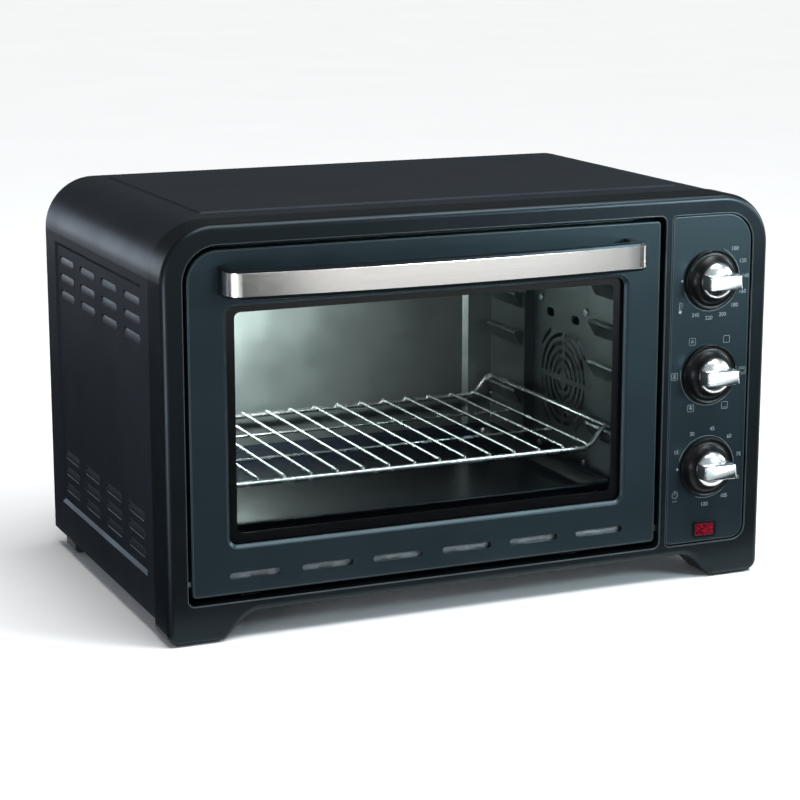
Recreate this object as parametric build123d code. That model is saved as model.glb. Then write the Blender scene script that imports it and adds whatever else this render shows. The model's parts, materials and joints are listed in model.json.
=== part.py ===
from build123d import *
import math
import os

# Countertop rotisserie oven, in millimetres, +Z up, door towards -Y.
# The oven is drawn with its bezel face on Y = 0 and then moved back by
# FRONT_Y, so that the origin is the middle of its footprint on the worktop.

# ---- overall sizes ---------------------------------------------------------
WIDTH = 560.0            # across the moulded bezel
HEIGHT = 348.0           # worktop to the raised top panel
BODY_DEPTH = 350.0       # bezel face to the back of the sheet housing
BEZEL_DEPTH = 37.0       # moulded front frame, front to back
CORNER_R = 46.0          # top corners of housing and bezel
EDGE_R = 5.6             # rounding of the bezel's front edge
TOP_PRESS = 1.4          # height of the raised top panel
HOUSING_INSET = 0.6      # housing skin below the bezel skin
REAR_SPACER = 12.0       # bumps that keep the back off a wall
PAD_STAND = 1.2          # rubber pads below the moulded feet

# ---- wall thicknesses and clearances ----------------------------------------
SHEET = 1.0              # steel sheet
MOULD = 3.0              # moulded plastic wall
GAP = 0.3                # between pieces that only lie next to each other
FACE_GAP = 0.1           # between faces that are screwed together
RUN_FIT = 0.05           # radial clearance of a shaft in its bearing

# ---- door -------------------------------------------------------------------
DOOR_BORDER = 21.5       # bezel's left side to the door
DOOR_TO_PANEL = 11.3     # door's right edge to the control panel
DOOR_BOTTOM = 39.5
DOOR_BELOW_TOP = 21.2    # door's top edge below the oven's top
DOOR_FACE = 2.0          # how far the door sits behind the bezel face
DOOR_BACK = 20.0         # inner face of the closed door
DOOR_GAP = 4.0           # gap round the door
DOOR_RAIL_GAP = 6.0      # gap under the door
DOOR_CORNER = 26.0       # rounded top left corner
DOOR_SKIN = 1.5
WINDOW_SIDE = 32.0       # door edge to window opening, left and right
WINDOW_BELOW = 39.5
WINDOW_ABOVE = 45.5
WINDOW_R = 9.0
WINDOW_LIP = 5.0         # depth of the window's turned edge
GLASS_T = 4.0
GLASS_LAP = 6.0          # glass behind the window's edge
MASK_SIDE = 10.0         # black surround seen inside the window
MASK_BELOW = 10.5
MASK_ABOVE = 7.5
MASK_T = 0.5
HINGE_Y = 10.0           # door hinge axis
HINGE_Z = 50.0
PIN_R = 3.0
VENT_COUNT = 6           # slots across the foot of the door
VENT_SPACING = 18.0      # metal between two slots
VENT_MARGIN = 23.5       # door's side to the first slot's share
VENT_HEIGHT = 5.5
VENT_Z = 55.3

# ---- handle -----------------------------------------------------------------
HANDLE_BELOW = 24.8      # door's top edge to the bar's middle
HANDLE_INSET = 29.5      # door's side to the bar's end
HANDLE_END = 28.0        # how far the bar's ends stand off the bezel face
HANDLE_BOW = 9.0         # extra reach at the middle
HANDLE_T = 10.0          # thickness of the black bar
HANDLE_H = 24.0          # height of the black bar
TRIM_H = 19.0            # height of the steel strip
TRIM_T = 1.0
HANDLE_FOOT = 16.0       # width of each foot where it meets the door

# ---- control panel ------------------------------------------------------------
PANEL_BORDER = 16.8      # panel to the bezel's right side
PANEL_WIDTH = 79.4
PANEL_BOTTOM = 34.2
PANEL_BELOW_TOP = 18.5   # panel's top edge below the oven's top
PANEL_GAP = 0.8
PANEL_FACE = 1.5
PANEL_T = 2.5
PANEL_CORNER = 25.0
PANEL_CORNER_LOW = 12.0
KNOB_LIFT = 14.0         # middle knob above half the oven's height
KNOB_MARGIN = 9.2        # height left over by four knob pitches
KNOB_R = 26.5
KNOB_GAP = 0.6           # skirt to panel
KNOB_CAP_R = 16.0
KNOB_REACH = 26.0        # grip's front, ahead of the bezel face
SHAFT_R = 3.0
LAMP_W = 21.0
LAMP_H = 12.5
LAMP_Z = 45.8
LENS_BEHIND = 3.0        # lens behind the panel

# ---- cavity -------------------------------------------------------------------
CAVITY_INSET = 22.7      # door's side to the cavity's wall
DOOR_AIR = 4.0           # closed door to the cavity's front frame
CAVITY_TO_BACK = 58.0    # cavity's back to the housing's back
CAVITY_TO_TOP = 56.0     # cavity's roof to the oven's top
CAVITY_FLOOR = 60.0
MOUTH_SILL = 17.0        # front opening above the cavity floor
MOUTH_HEAD = 8.0         # front opening below the cavity roof
RIB_REACH = 8.0
RIB_SHARES = (0.3276, 0.5733, 0.7328, 0.8922)    # shelf heights as shares of the cavity's
RIB_MARGIN = 6.0         # shelf support to the wall's edge or step
TRAY_LEVEL = 89.5
FAN_SHARE = 0.4224       # fan's height as a share of the cavity's
FAN_RECESS = 10.0        # fan panel behind the ribbed wall
RECESS_AHEAD = 73.0      # recess in front of the fan's axis
RECESS_BEHIND = 61.0
SPIT_BEHIND_FAN = 2.0    # rotisserie axis from the fan's axis
SPIT_ABOVE_FAN = 42.0
SPIT_END = 8.0           # square end of the spit
SOCKET_R = 8.0           # turning socket for the spit
SOCKET_STEM_R = 4.0
HEATER_R = 3.5
HEATER_AHEAD = 13.0      # front elements to the fan recess
HEATER_BEHIND = 17.0     # rear elements to the fan recess
HEATER_HANG = 11.0       # upper elements below the roof
HEATER_LIFT = 9.0        # lower elements above the floor
RACK_RODS = 15
RACK_ROD_R = 1.4
RACK_FRAME_R = 2.5
RACK_DROP = 17.6         # grid below the rack's side rails
RACK_STEP = 14.0         # width of the slope from side rail to grid
RACK_AHEAD = 18.5        # rack's front to the cavity's front frame
RACK_BEHIND = 8.0

# ---- worked out from the above --------------------------------------------------
HALF = WIDTH / 2
PANEL_RIGHT = HALF - PANEL_BORDER
PANEL_LEFT = PANEL_RIGHT - PANEL_WIDTH
PANEL_TOP = HEIGHT - PANEL_BELOW_TOP
DOOR_LEFT = -HALF + DOOR_BORDER
DOOR_RIGHT = PANEL_LEFT - DOOR_TO_PANEL
DOOR_TOP = HEIGHT - DOOR_BELOW_TOP
DOOR_MID = (DOOR_LEFT + DOOR_RIGHT) / 2
DOOR_HALF = (DOOR_RIGHT - DOOR_LEFT) / 2
VENT_PITCH = (DOOR_HALF - VENT_MARGIN) * 2 / VENT_COUNT
VENT_LENGTH = VENT_PITCH - VENT_SPACING
HANDLE_Z = DOOR_TOP - HANDLE_BELOW
HANDLE_HALF = DOOR_HALF - HANDLE_INSET
KNOB_Z = HEIGHT / 2 + KNOB_LIFT
KNOB_PITCH = (HEIGHT - KNOB_MARGIN) / 4
CAVITY_HALF = DOOR_HALF - CAVITY_INSET
CAVITY_FRONT = DOOR_BACK + DOOR_AIR
CAVITY_BACK = BODY_DEPTH - CAVITY_TO_BACK
CAVITY_ROOF = HEIGHT - CAVITY_TO_TOP
CAVITY_TALL = CAVITY_ROOF - CAVITY_FLOOR
MOUTH_BOTTOM = CAVITY_FLOOR + MOUTH_SILL
MOUTH_TOP = CAVITY_ROOF - MOUTH_HEAD
FAN_Y = (CAVITY_FRONT + CAVITY_BACK) / 2
FAN_Z = CAVITY_FLOOR + FAN_SHARE * CAVITY_TALL
RECESS_FRONT = FAN_Y - RECESS_AHEAD
RECESS_BACK = FAN_Y + RECESS_BEHIND
RIB_LEVELS = tuple(CAVITY_FLOOR + share * CAVITY_TALL for share in RIB_SHARES)
RIB_FRONT = (CAVITY_FRONT + RIB_MARGIN, RECESS_FRONT - RIB_MARGIN)
RIB_REAR = (RECESS_BACK + RIB_MARGIN, CAVITY_BACK - RIB_MARGIN)
SPIT_Y = FAN_Y + SPIT_BEHIND_FAN
SPIT_Z = FAN_Z + SPIT_ABOVE_FAN
HEATER_YS = (RECESS_FRONT - HEATER_AHEAD, RECESS_BACK + HEATER_BEHIND)
HEATER_TOP_Z = CAVITY_ROOF - HEATER_HANG
HEATER_LOW_Z = CAVITY_FLOOR + HEATER_LIFT
RACK_FRONT = CAVITY_FRONT + RACK_AHEAD
RACK_BACK = CAVITY_BACK - RACK_BEHIND
CAVITY_LEFT = DOOR_MID - CAVITY_HALF
CAVITY_RIGHT = DOOR_MID + CAVITY_HALF
PANEL_MID = (PANEL_LEFT + PANEL_RIGHT) / 2
KNOB_ZS = (KNOB_Z + KNOB_PITCH, KNOB_Z, KNOB_Z - KNOB_PITCH)
BEZEL_TOP = HEIGHT - TOP_PRESS + HOUSING_INSET
HOUSING_HALF = HALF - HOUSING_INSET
HOUSING_TOP = HEIGHT - TOP_PRESS
HOUSING_BOTTOM = 15.5
BASE_Z = 17.5            # underside of the base plate
BACK_Y = BODY_DEPTH - 3  # inner face of the back panel
OPEN_LEFT = DOOR_LEFT - DOOR_GAP
OPEN_RIGHT = DOOR_RIGHT + DOOR_GAP
OPEN_BOTTOM = DOOR_BOTTOM - DOOR_RAIL_GAP
OPEN_TOP = DOOR_TOP + DOOR_GAP
HANDLE_SCREW_X = HANDLE_HALF - 6.0
HANDLE_REACH = HANDLE_END + HANDLE_BOW + TRIM_T
TOTAL_DEPTH = HANDLE_REACH + BODY_DEPTH + REAR_SPACER
FRONT_Y = HANDLE_REACH - TOTAL_DEPTH / 2


def block(x0, x1, y0, y1, z0, z1):
    """A box between two corners."""
    return Pos((x0 + x1) / 2, (y0 + y1) / 2, (z0 + z1) / 2) * Box(x1 - x0, y1 - y0, z1 - z0)


def along_x(x0, x1, y, z, r):
    """A round bar along X."""
    return extrude(Plane.YZ.offset(x0) * Pos(y, z) * Circle(r), x1 - x0)


def along_y(y0, y1, x, z, r):
    """A round bar along Y."""
    return extrude(Plane.XZ.offset(-y1) * Pos(x, z) * Circle(r), y1 - y0)


def along_z(z0, z1, x, y, r):
    """A round bar along Z."""
    return extrude(Plane.XY.offset(z0) * Pos(x, y) * Circle(r), z1 - z0)


def front_prism(shape, y0, y1):
    """An XZ outline pushed through from y0 back to y1."""
    return extrude(Plane.XZ.offset(-y1) * shape, y1 - y0, dir=(0, -1, 0))


def side_prism(shape, x0, x1):
    """A YZ outline pushed through from x0 to x1."""
    return extrude(Plane.YZ.offset(x0) * shape, x1 - x0, dir=(1, 0, 0))


def plate(x0, x1, z0, z1, radii):
    """An XZ outline with its own radius at each corner: top left, top right, low right, low left."""
    tl, tr, br, bl = radii
    k = 1 - math.sqrt(0.5)
    wire = Polyline((x0, z0 + bl), (x0, z1 - tl))
    wire += ThreePointArc((x0, z1 - tl), (x0 + tl * k, z1 - tl * k), (x0 + tl, z1))
    wire += Line((x0 + tl, z1), (x1 - tr, z1))
    wire += ThreePointArc((x1 - tr, z1), (x1 - tr * k, z1 - tr * k), (x1, z1 - tr))
    wire += Line((x1, z1 - tr), (x1, z0 + br))
    wire += ThreePointArc((x1, z0 + br), (x1 - br * k, z0 + br * k), (x1 - br, z0))
    wire += Line((x1 - br, z0), (x0 + bl, z0))
    wire += ThreePointArc((x0 + bl, z0), (x0 + bl * k, z0 + bl * k), (x0, z0 + bl))
    return make_face(wire)


def arch(half, top, radius, bottom):
    """The oven's outline: square at the bottom, round at the top corners."""
    k = radius * (1 - math.sqrt(0.5))
    wire = Polyline((half, top - radius), (half, bottom), (-half, bottom), (-half, top - radius))
    wire += ThreePointArc((-half, top - radius), (-half + k, top - k), (-half + radius, top))
    wire += Line((-half + radius, top), (half - radius, top))
    wire += ThreePointArc((half - radius, top), (half - k, top - k), (half, top - radius))
    return make_face(wire)


def slot_yz(y, z, length, height):
    """A round-ended slot in the YZ plane."""
    return Pos(y, z) * SlotOverall(length, height)


def pan(plane, width, height, depth, slope):
    """A pressed panel: outer skin and the hollow inside it."""
    outer = extrude(plane * Rectangle(width + 2 * SHEET, height + 2 * SHEET), depth + SHEET, taper=slope)
    inner = extrude(plane * Rectangle(width, height), depth, taper=slope)
    return outer, inner


# ---- casing -----------------------------------------------------------------

SIDE_PANEL_Y = (BEZEL_DEPTH + 20, BODY_DEPTH - 30)
SIDE_PANEL_Z = (47.0, HEIGHT - 55)
SIDE_PRESS = 2.0
LOUVRE_COLUMNS = 4
LOUVRE_MARGIN = 33.0     # pressed panel's end to the middle of the first louvre
LOUVRE_GAP = 20.0
LOUVRE_PITCH = (SIDE_PANEL_Y[1] - SIDE_PANEL_Y[0] - 2 * LOUVRE_MARGIN + 1) / (LOUVRE_COLUMNS - 1)
LOUVRE_LENGTH = LOUVRE_PITCH - LOUVRE_GAP
LOUVRE_HEIGHT = 7.0
LOUVRE_ROW = 15.6        # between rows
LOUVRE_YS = tuple(SIDE_PANEL_Y[0] + LOUVRE_MARGIN + LOUVRE_PITCH * i for i in range(LOUVRE_COLUMNS))
LOUVRE_TOPS = (SIDE_PANEL_Z[1] - 16, SIDE_PANEL_Z[0] + 47.5)
LOUVRE_ZS = tuple(top - LOUVRE_ROW * i for top in LOUVRE_TOPS for i in range(3))
TOP_PANEL_X = HALF - 53
TOP_PANEL_Y = (BEZEL_DEPTH + 29, BODY_DEPTH - 18)
CORD_X = HALF - 65       # cord gland in the back
CORD_Z = 45.0
CORD_R = 4.0             # gland's bore
GLAND_R = 9.0
BUMP_X = HALF - 110      # spacer bumps on the back
BUMP_Z = 165.0
SCREW_R = 1.6
SCREW_X = HALF - 25
REAR_SCREWS = tuple((x, z) for x in (-SCREW_X, SCREW_X) for z in (60.0, HEIGHT - 58))
REAR_SCREWS += ((0.0, HEIGHT - 26), (0.0, 30.0))


def outer_housing():
    """Wrap of steel sheet: two sides and the top, with louvres and pressed panels."""
    outer = arch(HOUSING_HALF, HOUSING_TOP, CORNER_R, HOUSING_BOTTOM)
    inner = arch(HOUSING_HALF - SHEET, HOUSING_TOP - SHEET, CORNER_R - SHEET, HOUSING_BOTTOM - 1)
    skin = front_prism(outer, BEZEL_DEPTH + GAP, BODY_DEPTH)
    skin -= front_prism(inner, BEZEL_DEPTH, BODY_DEPTH + 1)
    mid_y = sum(SIDE_PANEL_Y) / 2
    mid_z = sum(SIDE_PANEL_Z) / 2
    long_y = SIDE_PANEL_Y[1] - SIDE_PANEL_Y[0]
    tall_z = SIDE_PANEL_Z[1] - SIDE_PANEL_Z[0]
    for side in (-1, 1):
        face = Plane((side * HOUSING_HALF, mid_y, mid_z), x_dir=(0, 1, 0), z_dir=(-side, 0, 0))
        press, hollow = pan(face, long_y, tall_z, SIDE_PRESS, 60)
        skin = skin + press - hollow
    top = Plane((0, sum(TOP_PANEL_Y) / 2, HOUSING_TOP - SHEET), x_dir=(1, 0, 0), z_dir=(0, 0, 1))
    wide = 2 * TOP_PANEL_X
    deep = TOP_PANEL_Y[1] - TOP_PANEL_Y[0]
    raised = extrude(top * RectangleRounded(wide, deep, 4), TOP_PRESS + SHEET, taper=60)
    under = extrude(top.offset(-0.01) * RectangleRounded(wide - 3, deep - 3, 3), TOP_PRESS, taper=60)
    skin = skin + raised - under
    slots = Sketch() + [slot_yz(y, z, LOUVRE_LENGTH, LOUVRE_HEIGHT) for y in LOUVRE_YS for z in LOUVRE_ZS]
    skin -= side_prism(slots, -HALF, -HALF + 10)
    skin -= side_prism(slots, HALF - 10, HALF)
    return skin


def rear_panel():
    """Back sheet inside the housing, with vents and two spacer bumps."""
    inset = SHEET + GAP
    sheet = arch(HOUSING_HALF - inset, HOUSING_TOP - inset, CORNER_R - inset, HOUSING_BOTTOM + 2)
    back = front_prism(sheet, BACK_Y, BACK_Y + SHEET)
    vents = Sketch()
    for row in range(5):
        for i in range(5):
            vents += Pos(130 - HALF + 25 * i, HEIGHT - 113 + 12 * row) * SlotOverall(18, 4)
        for i in range(6):
            vents += Pos(60 + 25 * i, 70 + 12 * row) * SlotOverall(18, 4)
    back -= front_prism(vents, BACK_Y - 2, BACK_Y + 3)
    back -= along_y(BACK_Y - 2, BACK_Y + 3, CORD_X, CORD_Z, GLAND_R + GAP)
    reach = BODY_DEPTH + REAR_SPACER - BACK_Y - SHEET
    face = Plane((0, BACK_Y + SHEET, 0), x_dir=(1, 0, 0), z_dir=(0, 1, 0))
    for x in (-BUMP_X, BUMP_X):
        back += extrude(face * Pos(x, -BUMP_Z) * RectangleRounded(70, 46, 8), reach, taper=12)
    for x in (-BUMP_X, BUMP_X):
        hollow = face.offset(-SHEET - 0.01) * Pos(x, -BUMP_Z)
        back -= extrude(hollow * RectangleRounded(67, 43, 6.5), reach, taper=12)
    for x, z in REAR_SCREWS:
        back -= along_y(BACK_Y - 2, BACK_Y + 3, x, z, SCREW_R + GAP)
    return back


def pan_screw():
    """Pan-head screw, head towards +Z, head seat on Z = 0."""
    head = Cylinder(3.6, 2.2, align=(Align.CENTER, Align.CENTER, Align.MIN))
    head = fillet(head.edges().group_by(Axis.Z)[-1], 1.2)
    slot = Pos(0, 0, 2.2) * (Box(4.4, 0.9, 2) + Box(0.9, 4.4, 2))
    stem = Pos(0, 0, -5) * Cylinder(SCREW_R, 5, align=(Align.CENTER, Align.CENTER, Align.MIN))
    return head - slot + stem


def rear_screws():
    """Screws through the back panel."""
    turn = Rot(-90, 0, 0)
    return [Pos(x, BACK_Y + SHEET, z) * turn * pan_screw() for x, z in REAR_SCREWS]


def base_plate():
    """Bottom sheet with air slots."""
    half = HOUSING_HALF - SHEET - GAP
    sheet = block(-half, half, BEZEL_DEPTH + 4, BODY_DEPTH - 4, BASE_Z, BASE_Z + SHEET)
    slots = Sketch()
    for i in range(9):
        slots += [Pos(-200 + 50 * i, y) * SlotOverall(36, 5) for y in (110, 135, 160, 185, 210)]
    sheet -= extrude(Plane.XY.offset(BASE_Z - 1) * slots, SHEET + 2)
    return sheet


# ---- moulded front ------------------------------------------------------------

FOOT_IN = HALF - 48      # inner end of a foot's flat
ARCH_END = HALF - 80     # where the arch meets the rail
RAIL_BOTTOM = 23.5
LIP_DEPTH = 12.0
PAD_R = 8.0
PAD_SINK = 2.0           # how far a pad sits in its foot
FRONT_PAD = (HALF - 28, 26.0)
REAR_PAD = (HALF - 24, BODY_DEPTH - 34)


def bezel_outline(inset):
    """Front outline with two arched feet, pulled in by inset."""
    half = HALF - inset
    top = BEZEL_TOP - inset
    r = CORNER_R - inset
    low = PAD_STAND + inset
    rail = RAIL_BOTTOM + inset
    k = r * (1 - math.sqrt(0.5))
    toe = 10.0 - inset
    bow = toe * (1 - math.sqrt(0.5))
    wire = Line((-FOOT_IN - inset, low), (-half + toe, low))
    wire += ThreePointArc((-half + toe, low), (-half + bow, low + bow), (-half, low + toe))
    wire += Line((-half, low + toe), (-half, top - r))
    wire += ThreePointArc((-half, top - r), (-half + k, top - k), (-half + r, top))
    wire += Line((-half + r, top), (half - r, top))
    wire += ThreePointArc((half - r, top), (half - k, top - k), (half, top - r))
    wire += Line((half, top - r), (half, low + toe))
    wire += ThreePointArc((half, low + toe), (half - bow, low + bow), (half - toe, low))
    wire += Line((half - toe, low), (FOOT_IN + inset, low))
    wire += Spline((FOOT_IN + inset, low), (ARCH_END + inset, rail), tangents=((-1, 0.55), (-1, 0.1)))
    wire += Line((ARCH_END + inset, rail), (-ARCH_END - inset, rail))
    wire += Spline((-ARCH_END - inset, rail), (-FOOT_IN - inset, low), tangents=((-1, -0.1), (-1, -0.55)))
    return make_face(wire)


def door_opening(grow):
    """Outline of the opening for the door."""
    r = DOOR_CORNER + DOOR_GAP
    return plate(OPEN_LEFT - grow, OPEN_RIGHT + grow, OPEN_BOTTOM - grow, OPEN_TOP + grow, (r, 6, 6, 6))


def panel_outline(grow):
    """Outline of the control panel and its opening."""
    sizes = (4, PANEL_CORNER + grow, PANEL_CORNER_LOW + grow, 4)
    return plate(PANEL_LEFT - grow, PANEL_RIGHT + grow, PANEL_BOTTOM - grow, PANEL_TOP + grow, sizes)


def front_bezel():
    """Moulded frame round door and panel, with the two front feet."""
    body = front_prism(bezel_outline(0), 0, BEZEL_DEPTH)
    front = body.faces().sort_by(Axis.Y)[0]
    body = fillet(front.edges(), EDGE_R)
    hollow = front_prism(bezel_outline(MOULD), MOULD + 1, BEZEL_DEPTH + 1)
    walls = front_prism(door_opening(MOULD), 1, LIP_DEPTH)
    walls += front_prism(panel_outline(PANEL_GAP + MOULD), 1, LIP_DEPTH)
    body = body - (hollow - walls)
    body -= front_prism(door_opening(0), -1, LIP_DEPTH + 1)
    body -= front_prism(panel_outline(PANEL_GAP), -1, LIP_DEPTH + 1)
    for side in (-1, 1):
        x0, x1 = sorted((side * (FOOT_IN + 3), side * (HALF - 7)))
        body += block(x0, x1, MOULD, BEZEL_DEPTH + 13, PAD_STAND, HOUSING_BOTTOM - 1.5)
        x, y = FRONT_PAD
        body -= along_z(PAD_STAND - 1, PAD_STAND + PAD_SINK, side * x, y, PAD_R + GAP)
    for x0, x1 in ((OPEN_LEFT - 6, OPEN_LEFT + 1), (OPEN_RIGHT - 1, OPEN_RIGHT + 9)):
        body -= along_x(x0, x1, HINGE_Y, HINGE_Z, PIN_R + GAP)
    return body


def control_panel():
    """Panel plate with holes for the three shafts and the lamp."""
    face = front_prism(panel_outline(0), PANEL_FACE, PANEL_FACE + PANEL_T)
    face = fillet(face.faces().sort_by(Axis.Y)[0].edges(), 0.8)
    for z in KNOB_ZS:
        face -= along_y(-1, 10, PANEL_MID, z, BUSH_R)
    lamp = Pos(PANEL_MID, LAMP_Z) * RectangleRounded(LAMP_W + 2 * GAP, LAMP_H + 2 * GAP, 3)
    face -= front_prism(lamp, -1, 10)
    return face


def rear_foot(side):
    """Moulded rear foot under one back corner."""
    x = side * REAR_PAD[0]
    y = REAR_PAD[1]
    foot = block(x - 18, x + 18, y - 20, y + 20, PAD_STAND, BASE_Z - GAP)
    foot = fillet(foot.edges().filter_by(Axis.Z), 6)
    foot = chamfer(foot.faces().sort_by(Axis.Z)[0].edges(), 2)
    return foot - along_z(PAD_STAND - 1, PAD_STAND + PAD_SINK, x, y, PAD_R + GAP)


def foot_pads():
    """Four rubber pads."""
    pads = []
    for x, y in (FRONT_PAD, REAR_PAD):
        for side in (-1, 1):
            pad = along_z(0, PAD_STAND + PAD_SINK - RUN_FIT, side * x, y, PAD_R)
            pads.append(chamfer(pad.faces().sort_by(Axis.Z)[0].edges(), 0.6))
    return pads


# ---- cavity ---------------------------------------------------------------------

def rib(side, y0, y1, level):
    """Pressed shelf support on a side wall: skin and hollow."""
    wall = CAVITY_RIGHT if side > 0 else CAVITY_LEFT
    reach = -side

    def section(points):
        return Polygon(*[(wall + reach * x, level + z) for x, z in points], align=None)

    outer = section([(-0.5, 0), (RIB_REACH - 1, 0), (RIB_REACH, -2), (-0.5, -16)])
    inner = section([(-2, -SHEET), (RIB_REACH - 1.6, -SHEET), (RIB_REACH - 1.2, -2.2), (-2, -14)])
    return front_prism(outer, y0, y1), front_prism(inner, y0 + SHEET, y1 - SHEET)


def side_wall(side):
    """Cavity side with shelf supports."""
    inner = CAVITY_RIGHT if side > 0 else CAVITY_LEFT
    x0, x1 = sorted((inner, inner + side * SHEET))
    wall = block(x0, x1, CAVITY_FRONT + SHEET, CAVITY_BACK, CAVITY_FLOOR, CAVITY_ROOF)
    if side > 0:
        back = inner + FAN_RECESS
        wall -= block(inner - 1, inner + 2, RECESS_FRONT, RECESS_BACK, 0, HEIGHT)
        y0 = RECESS_FRONT - SHEET
        wall += block(back, back + SHEET, y0, RECESS_BACK + SHEET, CAVITY_FLOOR, CAVITY_ROOF)
        for y in (RECESS_FRONT - SHEET, RECESS_BACK):
            wall += block(inner, back + SHEET, y, y + SHEET, CAVITY_FLOOR, CAVITY_ROOF)
    for level in RIB_LEVELS + (TRAY_LEVEL,):
        for span in (RIB_FRONT, RIB_REAR):
            skin, hollow = rib(side, span[0], span[1], level)
            wall = wall + skin - hollow
    for y in HEATER_YS:
        for z in (HEATER_TOP_Z, HEATER_LOW_Z):
            wall -= along_x(inner - 5, inner + 5, y, z, HEATER_R + 0.6)
    return wall


def cavity_left_wall():
    """Left side, with the hole for the rotisserie drive."""
    return side_wall(-1) - along_x(CAVITY_LEFT - 5, CAVITY_LEFT + 5, SPIT_Y, SPIT_Z, SOCKET_R + 1)


def spit_bracket_slots():
    """Two slots that take the bracket for a spit's free end."""
    return [slot_yz(SPIT_Y + s * 25, SPIT_Z + 18, 15, 8) for s in (-1, 1)]


def fan_grille():
    """Concentric slots in front of the fan, and the two spit-bracket slots."""
    ring_pitch = 8.0
    slots = Sketch()
    for i in range(6):
        r = 10 + ring_pitch * i
        ring = Circle(r + 2) - Circle(r - 2)
        bar = 5 if i < 5 else 52
        ring -= Rectangle(bar, 140) + Rectangle(140, bar)
        slots += Pos(FAN_Y, FAN_Z) * ring
    return slots + spit_bracket_slots()


FAN_SCREWS = tuple((FAN_Y + sy * 45, FAN_Z + sz * 71) for sy in (-1, 1) for sz in (-1, 1))


def cavity_right_wall():
    """Right side, stepped out behind the fan grille."""
    back = CAVITY_RIGHT + FAN_RECESS
    wall = side_wall(1) - side_prism(fan_grille(), back - 3, back + 3)
    for y, z in FAN_SCREWS:
        wall -= along_x(back - 3, back + 3, y, z, SCREW_R + GAP)
    return wall


def cavity_back_wall():
    """Back of the cavity, pressed back in the middle."""
    y = CAVITY_BACK + GAP
    wall = block(CAVITY_LEFT, CAVITY_RIGHT, y, y + SHEET, CAVITY_FLOOR, CAVITY_ROOF)
    mid = (CAVITY_FLOOR + CAVITY_ROOF) / 2
    face = Plane((DOOR_MID, y, mid), x_dir=(1, 0, 0), z_dir=(0, 1, 0))
    skin, hollow = pan(face, 2 * CAVITY_HALF - 50, CAVITY_TALL - 40, 5, 40)
    return wall + skin - hollow


def level_sheet(z):
    """A flat sheet as wide and deep as the cavity."""
    return block(CAVITY_LEFT, CAVITY_RIGHT, CAVITY_FRONT + SHEET, CAVITY_BACK + GAP + SHEET, z, z + SHEET)


def cavity_front_frame():
    """Flat steel frame that ties cavity, bezel and hinges together."""
    outline = plate(OPEN_LEFT - 8, OPEN_RIGHT + 3, OPEN_BOTTOM + 3, OPEN_TOP - 4, (20, 3, 3, 3))
    mouth = plate(CAVITY_LEFT, CAVITY_RIGHT, MOUTH_BOTTOM, MOUTH_TOP, (4, 4, 4, 4))
    return front_prism(outline - mouth, CAVITY_FRONT, CAVITY_FRONT + SHEET)


def cavity_supports():
    """Two folded brackets that carry the cavity on the base plate."""
    floor = BASE_Z + SHEET
    y0 = CAVITY_FRONT + 36
    y1 = CAVITY_BACK - 12
    stays = []
    for x in (CAVITY_LEFT + 40, CAVITY_RIGHT - 40):
        web = block(x, x + SHEET, y0, y1, floor, CAVITY_FLOOR - SHEET)
        web += block(x, x + 16, y0, y1, floor, floor + SHEET)
        web += block(x, x + 16, y0, y1, CAVITY_FLOOR - 2 * SHEET, CAVITY_FLOOR - SHEET)
        stays.append(web)
    return stays


def heater(y, z):
    """Straight tubular element with thin terminal pins."""
    tube = along_x(CAVITY_LEFT - 8, CAVITY_RIGHT + 8, y, z, HEATER_R)
    tube += along_x(CAVITY_LEFT - 20, CAVITY_LEFT - 8, y, z, 1.5)
    tube += along_x(CAVITY_RIGHT + 8, CAVITY_RIGHT + 20, y, z, 1.5)
    return tube


def heater_insulators():
    """Ceramic beads where the elements leave the cavity."""
    beads = []
    for y in HEATER_YS:
        for z in (HEATER_TOP_Z, HEATER_LOW_Z):
            for side, wall in ((-1, CAVITY_LEFT), (1, CAVITY_RIGHT)):
                near = wall + side * (SHEET + FACE_GAP)
                far = wall + side * 14
                x0, x1 = sorted((near, far))
                bead = along_x(x0, x1, y, z, 6.5) - along_x(x0 - 1, x1 + 1, y, z, HEATER_R + RUN_FIT)
                beads.append(bead)
    return beads


# ---- convection fan and rotisserie drive ------------------------------------------

FAN_CUP_R = 56.0
FAN_CUP_DEPTH = 22.0


def fan_housing():
    """Pressed cup behind the grille that holds the fan motor."""
    x = CAVITY_RIGHT + FAN_RECESS + SHEET + FACE_GAP
    flange = side_prism(Pos(FAN_Y, FAN_Z) * RectangleRounded(118, 160, 6), x, x + SHEET)
    cup = along_x(x, x + FAN_CUP_DEPTH, FAN_Y, FAN_Z, FAN_CUP_R)
    cup -= along_x(x - 1, x + FAN_CUP_DEPTH - SHEET, FAN_Y, FAN_Z, FAN_CUP_R - SHEET)
    flange -= along_x(x - 1, x + 2, FAN_Y, FAN_Z, FAN_CUP_R - SHEET)
    body = flange + cup
    body -= along_x(x, x + 40, FAN_Y, FAN_Z, SHAFT_R + 3)
    for y, z in FAN_SCREWS:
        body -= along_x(x - 1, x + 3, y, z, SCREW_R + GAP)
    return body - side_prism(Sketch() + spit_bracket_slots(), x - 1, x + 3)


def fan_screws():
    """Screws that hold the fan housing to the wall."""
    x = CAVITY_RIGHT + FAN_RECESS
    return [Pos(x, y, z) * Rot(0, -90, 0) * pan_screw() for y, z in FAN_SCREWS]


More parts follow.
